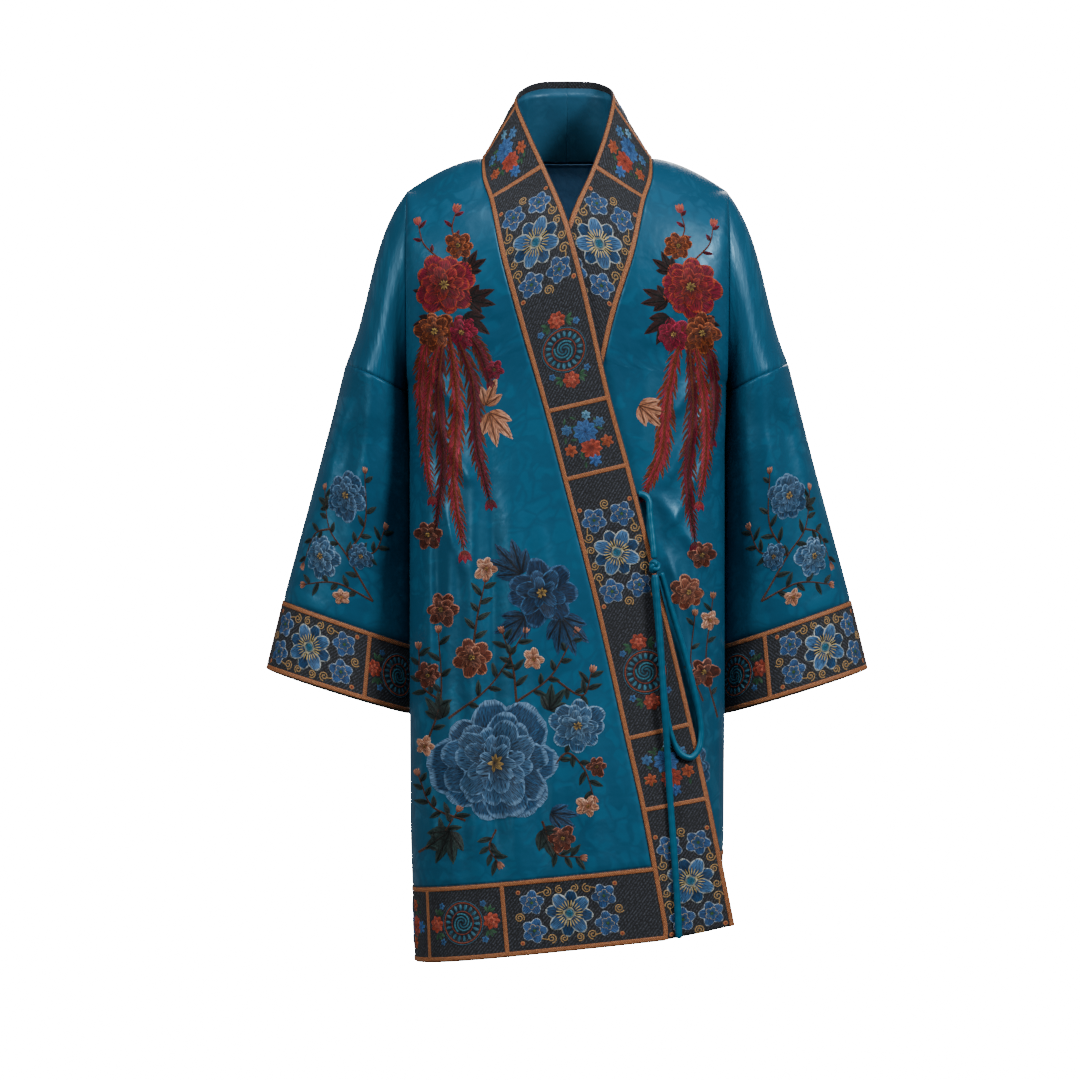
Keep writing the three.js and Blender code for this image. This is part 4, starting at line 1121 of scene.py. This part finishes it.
def lotus(work, u, v):
    """A lotus of eight petals with gold rays, four small flowers, scrolls and copper dots."""
    for su in (-1, 1):
        for sv in (-1, 1):
            stem = spline([(u + 44 * su, v + 14 * sv), (u + 36 * su, v + 26 * sv),
                           (u + 28 * su, v + 28.5 * sv)], np.linspace(0, 1, 12))
            work.stroke(stem, 1.6, "#b8935f")
            curl = 0.5 * np.pi * sv
            work.stroke(spiral(u + 24 * su, v + 27.5 * sv, 5.8, curl, 1.6, su * sv), 1.5, GOLD)
            work.stroke(spiral(u + 9 * su, v + 29 * sv, 5.0, curl + 0.4, 1.6, -su * sv), 1.5, GOLD)
            small_flower(work, u + 43 * su, v + 16.5 * sv, 14.5, 0.3 + su + 2 * sv)
        work.stroke(spiral(u + 59 * su, v, 5.8, 0.5, 1.8, su), 1.5, GOLD)
    work.disc(u + np.array([-58, -58, 58, 58]), v + np.array([-30, 30, -30, 30]), 2.9,
              ["#7a2f22", "#b23f2c", "#c98a58", "#b8744a"])
    for turn, dark, light, base in ((0.2, "#0a2440", "#1f5284", 0.0),
                                    (0.2 + np.pi / 4, "#163f6a", "#5488c0", 0.55)):
        work.petals(u, v, ringed(4, turn), 22.5, 18.5, dark, light, "#bcc4c0", (0.78, 0.5),
                    lift=1.1, start=6, fade=1.4, base=base)
    work.disc(u, v, 8.4, ["#1d5a78", "#2c6e8a", "#d9c07c"], base=0.5)
    work.petals(u, v, ringed(24), 8.5, 1.3, "#e6d08e", "#cdb06a", None, (1.0, 0.5), lift=0.5,
                base=1.3, start=7.6)


def medallion(work, u, v):
    """A round medallion: spokes round a winding middle, red rings, and flowers at both ends."""
    work.disc(u, v, 24.5, ["#16202a", "#1a2a36", "#16202a"], lift=0.25)
    a = ringed(49) * 49 / 48
    for radius, colour, width in ((23.6, "#9a4a34", 1.5), (13.6, "#8a3d2c", 1.3),
                                  (25.6, "#3d6d86", 1.0)):
        circle = np.stack([u + radius * np.cos(a), v + radius * np.sin(a)], 1)
        work.stroke(circle, width, colour, base=0.2)
    work.petals(u, v, ringed(18, 0.1), 7.6, 3.6, "#2c6780", "#4a8aa6", None, (1.1, 0.5), lift=0.5,
                base=0.2, start=14.6)
    for start in (0, 2.1, 4.2):
        work.stroke(spiral(u, v, 11.5, start, 0.85), 1.9, ("#3f8aa0", "#2a5f78"), base=0.25)
    for side in (-1, 1):
        at = u + 36 * side
        work.petals(at, v, ringed(7, side), 9.5, 8.5, "#6a1f18", "#c2523a", start=1)
        work.petals(at, v, ringed(5, 1), 5.5, 5, "#a8382a", "#d8745a", base=0.6)
        for k in (-1, 1):
            work.petals(at - 3 * side, v + 10 * k, np.array([0.5, 1.2, 2.1]) * k, 10, 5, "#1f3f2c",
                        "#3f7350", None, NARROW, lift=0.5)
            work.petals(at - 9 * side, v + 21 * k, ringed(5), 4.4, 4, "#1f4a7c", "#4a7fb8",
                        lift=0.5)


BUNCH_FLOWERS = [   # place along and across, size, dark and light thread
    (-8, 0, 15, "#173a6c", "#3f74b4"), (12, 2, 13, "#6e2018", "#c0503a"),
    (10, -22, 8, "#7a2c1c", "#c4643c"), (8, 22, 8, "#7a2c1c", "#c4643c"),
    (-14, -21, 7, "#1f4a7c", "#5488bc"), (-16, 19, 7, "#1f4a7c", "#5488bc"),
    (27, 3, 8, "#1d4684", "#4478bc"), (-27, 6, 6, "#2f6f9a", "#78b0d0"),
]


def bunch(work, u, v):
    """A small bunch of blue and red flowers among green leaves."""
    rng = work.rng
    work.petals(u + rng.uniform(-26, 26, 22), v + rng.uniform(-25, 25, 22), rng.uniform(0, 6.3, 22),
                9, 4.2, "#1c3a2a", "#3c6f4c", None, NARROW, lift=0.4)
    for du, dv, size, dark, light in BUNCH_FLOWERS:
        count = 9 if size > 10 else 6
        for number, turn, long, wide, lift, base in ((count, dv, 1, 0.62, 0.7, 0.2),
                                                     (count - 2, du, 0.55, 0.45, 0.5, 0.8)):
            work.petals(u + du, v + dv, ringed(number, turn), size * long, size * wide, dark, light,
                        None, (0.9, 0.5), lift=lift, base=base)


# %% Copper tape
TAPE_WIDE, TAPE_IN, TAPE_HIGH = 5.2, 1.1, 0.7
TAPE_PLACES = np.array([-1, -0.9, -0.5, 0, 0.5, 0.9, 1.0])      # across the tape
TAPE_RISE = np.array([-0.2, 0.85, 1, 1, 1, 0.85, -0.2]) * TAPE_HIGH


def tape_strips(name, cloth, bars, edges):
    """Flat raised strips of tape along both edges of a band and across it at the bars."""
    work, high = Needlework(cloth.at, 0), cloth.across[-1]

    def strip(middle, stops, lengthwise):
        wide = middle + TAPE_PLACES * TAPE_WIDE / 2 + 0 * stops[:, None]
        far = stops[:, None] + 0 * wide
        a, b = (far, wide) if lengthwise else (wide, far)
        work.add(a[None], b[None], (TAPE_RISE + 0 * a)[None], np.ones(3), wide[None], far[None])
    edge, end = TAPE_IN + TAPE_WIDE / 2, TAPE_IN + TAPE_WIDE * 0.6
    for middle in (edge, high - edge):
        strip(middle, np.arange(edges[0], edges[1] + 3, 3.0), True)
    for bar in bars:
        strip(bar, np.linspace(end, high - end, 24), False)
    made = work.finish(name)
    made.data.materials[0] = TAPE
    return made


# %% Cells of the bands
# A cell of a band has its kind, its start and its end. Each kind puts motifs at shares of a cell.
PAIR, BUNCH, LOTUS, ROUND = "pair", "bunch", "lotus", "round"
MOTIFS = {PAIR: [(lotus, 0.31), (medallion, 0.77)], BUNCH: [(bunch, 0.5)], LOTUS: [(lotus, 0.5)],
          ROUND: [(medallion, 0.5)]}
END_GAP, BAR_GAP = 0.5, 4       # how far tapes and bars stay from a band's cut ends
trimmings = {}


def fill_band(name, cells, seed):
    """Tape and motifs of a band from its cells, in millimetres along it."""
    cloth = sewn[name][1]
    gap = 0 if cloth.ring else END_GAP
    edges = gap, cloth.along[-1] - gap
    bars = [start for _, start, _ in cells
            if cloth.ring or edges[0] + BAR_GAP < start < edges[1] - BAR_GAP]
    trimmings[name] = [tape_strips(f"tape_{name}", cloth, bars, edges)]
    work = Needlework(cloth.at, seed)
    for kind, start, end in cells:
        for motif, share in MOTIFS[kind]:
            motif(work, mix(start, end, share), cloth.across[-1] / 2)
    trimmings[name].append(work.finish(f"pattern_{name}"))


def chain(start, *links):
    """Cells that follow one another, from the start and the kind and length of each."""
    cells = []
    for kind, size in links:
        cells.append((kind, start, start + size))
        start = start + size
    return cells


# Neck bands: a bar just in front of the shoulder seam, and bars at these heights of the seam. The
# first cell starts beyond the centre back and is cut there, and the last runs on past the hem.
BAR_HEIGHTS = [-47, -300, -380, -684, -768]
FIRST_START, SHOULDER_BAR, LAST_CELL = -18, 14, 184
BAND_KINDS = [PAIR, BUNCH, PAIR, BUNCH]
SHOULDER = NECK_ROWS - 1        # row of the neck band at the shoulder seam
for name, seed in (("neck_band_right", 11), ("neck_band_left", 12)):
    band = sewn[name][1]
    heights = band.points[SHOULDER:, 0, 2]
    bars = [float(np.interp(-z, -heights, band.along[SHOULDER:])) for z in BAR_HEIGHTS]
    shoulder_bar = float(band.along[SHOULDER]) + SHOULDER_BAR
    cells = [(LOTUS, FIRST_START, shoulder_bar), (BUNCH, shoulder_bar, bars[0])]
    cells += [(kind, *pair) for kind, pair in zip(BAND_KINDS, zip(bars[:-1], bars[1:]))]
    fill_band(name, cells + [(LOTUS, bars[-1], bars[-1] + LAST_CELL)], seed)

# Hem bands of the fronts: bars at these distances from the middle, and a bunch at the side seam.
HEM_BARS, SIDE_CELL = (164, 74, -79), 84
for name, side, seed in (("hem_band_right", -1, 21), ("hem_band_left", 1, 22)):
    strip = sewn[name][1]
    inward = -strip.points[:, HEM_ROWS // 2, 0] * side
    bars = [float(np.interp(-x, inward, strip.along)) for x in HEM_BARS]
    cells = [(BUNCH, bars[0] - SIDE_CELL, bars[0]), (ROUND, *bars[:2]), (LOTUS, *bars[1:])]
    fill_band(name, [cell for cell in cells if cell[2] > cell[1]], seed)

# The back's hem band and the cuffs: lotus cells and medallion cells in turn, as shares of the
# whole. A lotus sits on each cuff's front, a little outwards.
CUFF_LOTUS_ANGLE = np.radians(62)
whole = sewn["hem_band_back"][1].along[-1]
fill_band("hem_band_back", chain(0, *[(LOTUS, whole * 0.155), (ROUND, whole * 0.095)] * 4), 23)
for name, side in (("right", -1), ("left", 1)):
    along = sewn[f"cuff_{name}"][1].along
    big, small = along[-1] * 0.31, along[-1] * 0.19
    start = np.interp(CUFF_LOTUS_ANGLE, angle, along[:-1]) - big / 2
    fill_band(f"cuff_{name}", chain(start, *[(LOTUS, big), (ROUND, small)] * 2), 31 + side)

# %% [markdown]
# ## Embroidery on the satin
# The satin is embroidered with sprays, blossoms, leaves and twigs in rust, crimson, peach and
# blue. Their colours, size and weight follow the photo, and the flowers are a general design.
# Every blossom is rings of petals that rise towards the middle, the way stitchers pad a flower.

# %% Blossoms, leaves and twigs
def mix_hex(a, b, t):
    """A colour between two hex strings."""
    pick = lambda c, i: int(c[i:i + 2], 16)
    return "#" + "".join(f"{round(mix(pick(a, i), pick(b, i), t)):02x}" for i in (1, 3, 5))


def blossom(work, u, v, radius, threads, petals, rings):
    """A full blossom: rings of broad petals, each ring smaller, higher and turned on. The threads
    are dark, middle and light."""
    dark, middle, light = threads
    for k in range(rings):
        count = max(4, petals - k)
        turn = ringed(count, 0.9 * k) + work.rng.uniform(-0.15, 0.15, count)
        size = radius * (1 - k / (rings + 0.6)) * work.rng.uniform(0.86, 1.1, count)
        work.petals(u, v, turn, size, size * 0.82, dark, mix_hex(middle, light, k / rings), light,
                    (0.72, 0.42), lift=1.1, base=0.7 * k + work.rng.uniform(0, 0.3, count),
                    bend=work.rng.uniform(-0.15, 0.15, count), start=radius * 0.05, fade=1.4,
                    fine=2 + (radius > 50) if radius > 30 and k < 3 else 1)
        work.petals(u, v, turn, size * 0.8, size * 0.12, dark, middle, None, (0.9, 0.6), lift=0.4,
                    base=0.7 * k + 0.95, start=radius * 0.1)
    work.petals(u, v, ringed(8) + work.rng.uniform(-0.3, 0.3, 8), radius * 0.17, radius * 0.07,
                dark, "#d8b060", None, (0.9, 0.6), lift=0.5, base=0.7 * rings + 0.3)


def leaf(work, u, v, angle, length, width, dark, light, rib=None):
    """A pointed leaf in two tones with a raised rib."""
    work.petals(u, v, angle, length, width, dark, light, None, (0.8, 0.8), lift=0.7, fine=2)
    rib = rib or dark
    work.petals(u, v, angle, length * 0.92, width * 0.14, rib, rib, None, (0.8, 0.5), lift=0.35,
                base=0.7, fine=2)


def fan(work, u, v, turn, length, count, spread, dark, light):
    """A spray of leaves fanned out from one point, the middle ones longest."""
    place = np.linspace(-1, 1, count)
    leaf(work, u, v, turn + place * spread, length * (1 - 0.35 * place ** 2), length * 0.36, dark,
         light, mix_hex(dark, "#000000", 0.3))


def twig(work, path, width, stem, leaves, leaf_size, dark, light, bud_size, bud, bud_light):
    """A stem along a curve through a few points, with small leaves on both sides and end buds."""
    line = spline(path, np.linspace(0, 1, 12 * len(path)))
    work.stroke(line, width, stem, lift=0.7, tip=0.45)
    way = np.gradient(line, axis=0)
    turn = np.arctan2(way[:, 1], way[:, 0])
    at = np.linspace(8, len(line) - 4, leaves).astype(int)
    side = np.where(np.arange(leaves) % 2, 1, -1)
    leaf(work, *line[at].T, turn[at] + side * 0.9, leaf_size * work.rng.uniform(0.75, 1.15, leaves),
         leaf_size * 0.42, dark, light)
    work.petals(*line[-1], turn[-1] + np.array([-0.35, 0.35, 0.0]), bud_size, bud_size * 0.5, bud,
                bud_light, None, (0.85, 0.6), lift=1.0)


def plume(work, path, width, dark, light, edge):
    """A long hanging frond: layers of barbs along a rib, dark below and bright above, that grow
    longer and then fade, and a small tuft at the end."""
    share = np.linspace(0, 1, 90)
    line = spline(path, share)
    way = unit(np.gradient(line, axis=0))
    turn = np.arctan2(way[:, 1], way[:, 0])
    reach = width * np.sin(np.pi * share ** 0.8) ** 0.6 + 1.5
    for first, lean, size, outer, base in ((2, 0.62, 2.3, light, 0.0), (3, 0.38, 1.9, edge, 0.35)):
        at = np.arange(first, len(share) - 3, 3)
        for side in (-1, 1):
            leans = side * (lean + work.rng.uniform(-0.12, 0.12, len(at)))
            work.petals(*line[at].T, turn[at] + leans, reach[at] * size, reach[at] * 0.42, dark,
                        outer, None, (0.8, 0.8), lift=0.5, base=base, bend=-0.14 * side)
    work.stroke(line, width * 0.4, (light, dark), lift=0.9, base=0.5, tip=0.35)
    work.petals(*line[-1], turn[-1] + np.array([-0.5, 0.0, 0.5]), width * 1.6, width * 0.7, dark,
                edge, None, (0.8, 0.8), lift=0.6, base=0.3)


# %% Places on the body
def on_body(surface):
    """Puts x and z, in millimetres, on the front's surface, raised along its normal."""
    def onto(x, z, height):
        slope_x = (surface(x + 1, z) - surface(x - 1, z)) / 2
        slope_z = (surface(x, z + 1) - surface(x, z - 1)) / 2
        normal = unit(np.stack([slope_x, -np.ones_like(slope_x), slope_z], -1))
        return np.stack([x, surface(x, z), z], -1) + normal * height[..., None]
    return onto


def on_sleeve(cloth, x, z, side):
    """Puts flat millimetres round a place on the front of a sleeve: u away from the body, v up."""
    distance = np.hypot(cloth.points[..., 0] - x, cloth.points[..., 2] - z)
    distance = np.where(cloth.normals[..., 1] < 0, distance, 1e9)
    row, col = np.unravel_index(np.argmin(distance), distance.shape)
    step = cloth.points[row + 1, col] - cloth.points[row - 1, col]
    per_row = np.sign(step[0]) * np.linalg.norm(step) / 2
    per_col = np.linalg.norm(cloth.points[row, col + 1] - cloth.points[row, col - 1]) / 2
    return lambda u, v, height: cloth.at_index(row + u * side / per_row, col - v / per_col, height)


# %% Threads
CRIMSON, RUST, MAROON, ROSE, BROWN = "#8a0e32", "#74300f", "#2a060a", "#b21c48", "#6c3020"
PEACH, DEEP_BLUE, MID_BLUE, PALE_BLUE = "#dd9f80", "#0b2038", "#28567f", "#6b94bc"
BROWN_BLACK, PALE_PEACH, BUD_TIP = "#2a120c", "#efc2a6", "#d89478"
# dark, middle and light thread of each kind of blossom
RED, ROSY = (MAROON, CRIMSON, "#b4452c"), ("#4a0f16", CRIMSON, ROSE)
RUSTY, BROWNISH = (MAROON, RUST, "#c2693c"), (BROWN_BLACK, BROWN, "#b87660")
CLAY, NIGHT = ("#3a160e", "#7a3a26", "#c48468"), ("#07162a", "#1a4068", "#3a6a98")
BLUE, SKY = (DEEP_BLUE, MID_BLUE, PALE_BLUE), (DEEP_BLUE, "#33648f", "#7fa6ca")
PEACHY, TAN = ("#8a4a30", PEACH, PALE_PEACH), ("#7a3f28", PEACH, PALE_PEACH)
# dark and light thread of leaves
# the black leaves are near-black thread that also stands for painted shade under the red blossoms
GREEN_LEAF, BLACK_LEAF_AND_SHADE = ("#0e1a19", "#314845"), ("#08090c", "#3a1412")
BLUE_LEAF, PEACH_LEAF = ("#0a2038", "#275680"), ("#a8643f", PEACH)
TWIG_BROWN = "#54301f"


# %% Sprays of the fronts
def front_spray(name, surface, seed, plumes, leaves, blossoms, sprigs, more_leaves, stems, stem,
                last_leaves=()):
    """Embroiders a front: fronds, near-black leaves under the blossoms, which also stand for
    painted shade there, red sprigs, peach leaves, brown stems and the leaves on them, each over
    what was sewn before it."""
    work = Needlework(on_body(surface), seed)
    for k, (path, size) in enumerate(plumes):
        plume(work, path, size, MAROON if k % 2 else RUST, RUST, CRIMSON if k % 2 else ROSE)
    for *place, threads in leaves:
        fan(work, *place, 4, 0.8, *threads)
    for row in blossoms:
        blossom(work, *row)
    for path, size in sprigs:
        twig(work, path, 2.4, RUST, 3, 12, MAROON, CRIMSON, size, CRIMSON, "#d8745a")
    for *place, threads in more_leaves:
        fan(work, *place, *threads)
    width, leaf_count, leaf_size, bud_size, tip = stem
    for path in stems:
        twig(work, path, width, TWIG_BROWN, leaf_count, leaf_size, *GREEN_LEAF, bud_size, BROWN,
             tip)
    for *place, threads in last_leaves:
        fan(work, *place, *threads)
    trimmings[name] = [work.finish(f"embroidery_{name}")]


# fronds: points and width; leaves: place, turn, length, count, spread and threads;
# blossoms: place, radius, threads, petals and rings; stems: points
front_spray(
    "front_right", over_y, 5,
    [([(-146, -196), (-162, -262), (-168, -330), (-160, -398)], 8),
     ([(-144, -196), (-152, -280), (-146, -360), (-156, -440)], 9),
     ([(-140, -196), (-130, -290), (-134, -380), (-122, -462)], 10),
     ([(-136, -194), (-112, -262), (-106, -340), (-92, -402)], 9),
     ([(-150, -190), (-168, -226), (-174, -268), (-172, -310)], 7),
     ([(-132, -188), (-104, -226), (-92, -262)], 7)],
    [(-158, -162, 2.6, 27, BLACK_LEAF_AND_SHADE), (-118, -168, 0.1, 36, BLACK_LEAF_AND_SHADE),
     (-122, -186, -0.9, 40, BLACK_LEAF_AND_SHADE), (-160, -190, 3.7, 25, BLACK_LEAF_AND_SHADE),
     (-120, -134, 0.8, 30, BLACK_LEAF_AND_SHADE)],
    [(-144, -150, 35, RED, 9, 4), (-156, -204, 24, RUSTY, 8, 3), (-124, -206, 20, ROSY, 7, 3),
     (-128, -104, 17, RUSTY, 7, 3), (-164, -444, 17, BROWNISH, 6, 2),
     (-148, -532, 20, BROWNISH, 6, 3),
     (-164, -610, 15, BROWNISH, 6, 2), (-112, -588, 22, CLAY, 7, 3), (-30, -512, 40, NIGHT, 7, 3),
     (-84, -712, 72, BLUE, 11, 5), (12, -668, 31, SKY, 8, 4), (-96, -484, 15, TAN, 5, 2),
     (24, -762, 14, PEACHY, 5, 2), (-6, -800, 16, BROWNISH, 6, 2), (-168, -694, 12, PEACHY, 5, 2),
     (-40, -590, 13, PEACHY, 5, 2), (34, -716, 12, BROWNISH, 6, 2),
     (-86, -250, 11, (MAROON, CRIMSON, ROSE), 6, 2)],
    [([(-128, -104), (-136, -84), (-132, -64)], 12),
     ([(-150, -120), (-170, -100), (-176, -78)], 11)],
    [(-92, -300, -1.1, 44, 4, 0.75, PEACH_LEAF), (-96, -292, 1.2, 36, 3, 0.6, PEACH_LEAF)],
    [[(-170, -700), (-150, -640), (-152, -560)], [(-140, -660), (-90, -620), (-52, -560)],
     [(-60, -640), (-20, -610), (8, -560)], [(-20, -720), (0, -700), (20, -720), (30, -750)],
     [(-176, -820), (-150, -800), (-130, -770)], [(-112, -588), (-106, -540), (-97, -500)],
     [(-150, -640), (-172, -622), (-176, -580)], [(-60, -640), (-64, -600), (-76, -560)],
     [(-20, -610), (18, -632), (28, -606)], [(-120, -780), (-160, -764), (-176, -730)],
     [(-30, -780), (-12, -818), (14, -822)], [(-84, -790), (-92, -812), (-82, -828)]],
    (3.2, 7, 18, 10, BUD_TIP),
    [(-148, -660, 2.0, 34, 4, 0.8, GREEN_LEAF), (-22, -650, 1.2, 34, 4, 0.8, GREEN_LEAF),
     (-20, -770, -0.3, 36, 4, 0.7, ("#0e2a48", "#2d5c88")),
     (-138, -792, 4.3, 44, 5, 1.0, GREEN_LEAF),
     (-30, -790, -0.9, 40, 4, 0.8, GREEN_LEAF), (-8, -540, -1.2, 50, 5, 0.9, BLUE_LEAF),
     (-54, -490, 2.3, 48, 5, 0.9, BLUE_LEAF), (-50, -540, 3.9, 44, 4, 0.8, BLUE_LEAF)])
front_spray(
    "front_left", under_y, 6,
    [([(146, -200), (160, -270), (164, -340), (156, -404)], 8),
     ([(142, -200), (148, -300), (142, -380), (150, -452)], 9),
     ([(136, -198), (118, -280), (110, -350), (92, -392)], 10),
     ([(150, -192), (168, -232), (175, -280), (172, -330)], 7)],
    [(158, -162, 0.5, 27, BLACK_LEAF_AND_SHADE), (118, -168, 3.0, 34, BLACK_LEAF_AND_SHADE),
     (120, -188, 4.0, 38, BLACK_LEAF_AND_SHADE), (159, -190, -0.6, 24, BLACK_LEAF_AND_SHADE),
     (122, -134, 2.3, 28, BLACK_LEAF_AND_SHADE)],
    [(144, -152, 35, RED, 9, 4), (158, -206, 24, RUSTY, 8, 3), (124, -208, 20, ROSY, 7, 3),
     (130, -104, 17, RUSTY, 7, 3), (158, -468, 17, BROWNISH, 6, 2), (142, -512, 21, CLAY, 7, 3),
     (160, -606, 19, BROWNISH, 6, 2), (168, -545, 12, TAN, 5, 2), (146, -716, 24, BLUE, 8, 4)],
    [([(130, -104), (138, -84), (134, -64)], 12), ([(150, -120), (168, -100), (172, -80)], 11)],
    [(84, -292, -0.5, 40, 4, 0.75, PEACH_LEAF)],
    [[(178, -660), (164, -600), (172, -520)], [(160, -640), (146, -600), (150, -540)]],
    (2.6, 4, 14, 9, "#c98a68"))

# %% Sleeve flowers
SLEEVE_STEMS = [[(-44, -76), (-6, -34), (22, -12), (44, 30)], [(-6, -34), (-24, 6), (-16, 70)],
                [(22, -12), (44, -24), (52, -60)], [(-6, -34), (-40, -20), (-52, 10)],
                [(-44, -76), (0, -70), (40, -84)]]
for name, side in (("sleeve_right", -1), ("sleeve_left", 1)):
    work = Needlework(on_sleeve(sewn[name][1], side * 262, -430, side), 8 + side)
    for path in SLEEVE_STEMS:
        twig(work, path, 3.0, TWIG_BROWN, 6, 17, *GREEN_LEAF, 10, BROWN, BUD_TIP)
    fan(work, 30, 14, 0.2, 26, 3, 0.7, *GREEN_LEAF)
    for row in [(6, 34, 29, BLUE, 9, 4), (26, -46, 24, SKY, 8, 4), (-24, -30, 16, BLUE, 7, 3),
                (-8, -84, 10, PEACHY, 5, 2)]:
        blossom(work, *row)
    trimmings[name] = [work.finish(f"embroidery_{name}")]

# %% [markdown]
# ## Cut sizes
# The size each piece of cloth is cut to is printed. The sizes come from the grids: the longest
# line along, the longest across, and the area of the cloth itself.

def cut(cloth):
    """Width, length and area of a piece laid flat, in metres, from its grid."""
    p = np.concatenate([cloth.points, cloth.points[:1]]) if cloth.ring else cloth.points
    along = lengths(p)[-1].max()
    across = lengths(np.swapaxes(p, 0, 1))[-1].max()
    one, two = p[1:, 1:] - p[:-1, :-1], p[1:, :-1] - p[:-1, 1:]
    area = np.linalg.norm(np.cross(one, two), axis=-1).sum() / 2
    return across * MM, along * MM, min(area * MM * MM, across * along * MM * MM)


# each piece and the one it hangs from; a star stands for right and then left
HANGS_FROM = [("front_*", "back_panel"), ("back_panel", "front_right"), ("hem_band_*", "front_*"),
              ("hem_band_back", "back_panel"), ("neck_band_*", "front_*"),
              ("collar_facing_*", "neck_band_*"), ("back_lining", "back_panel"),
              ("upper_sleeve_*", "back_panel"), ("sleeve_*", "upper_sleeve_*"),
              ("cuff_*", "sleeve_*")]
for pair in HANGS_FROM:
    for side in ("right", "left") if "*" in pair[0] else ("",):
        name, support = (word.replace("*", side) for word in pair)
        piece, cloth = sewn[name]
        across, along, area = cut(cloth)
        print(f"{name}: {across:.3f} x {along:.3f} m, {area:.4f} square metres")
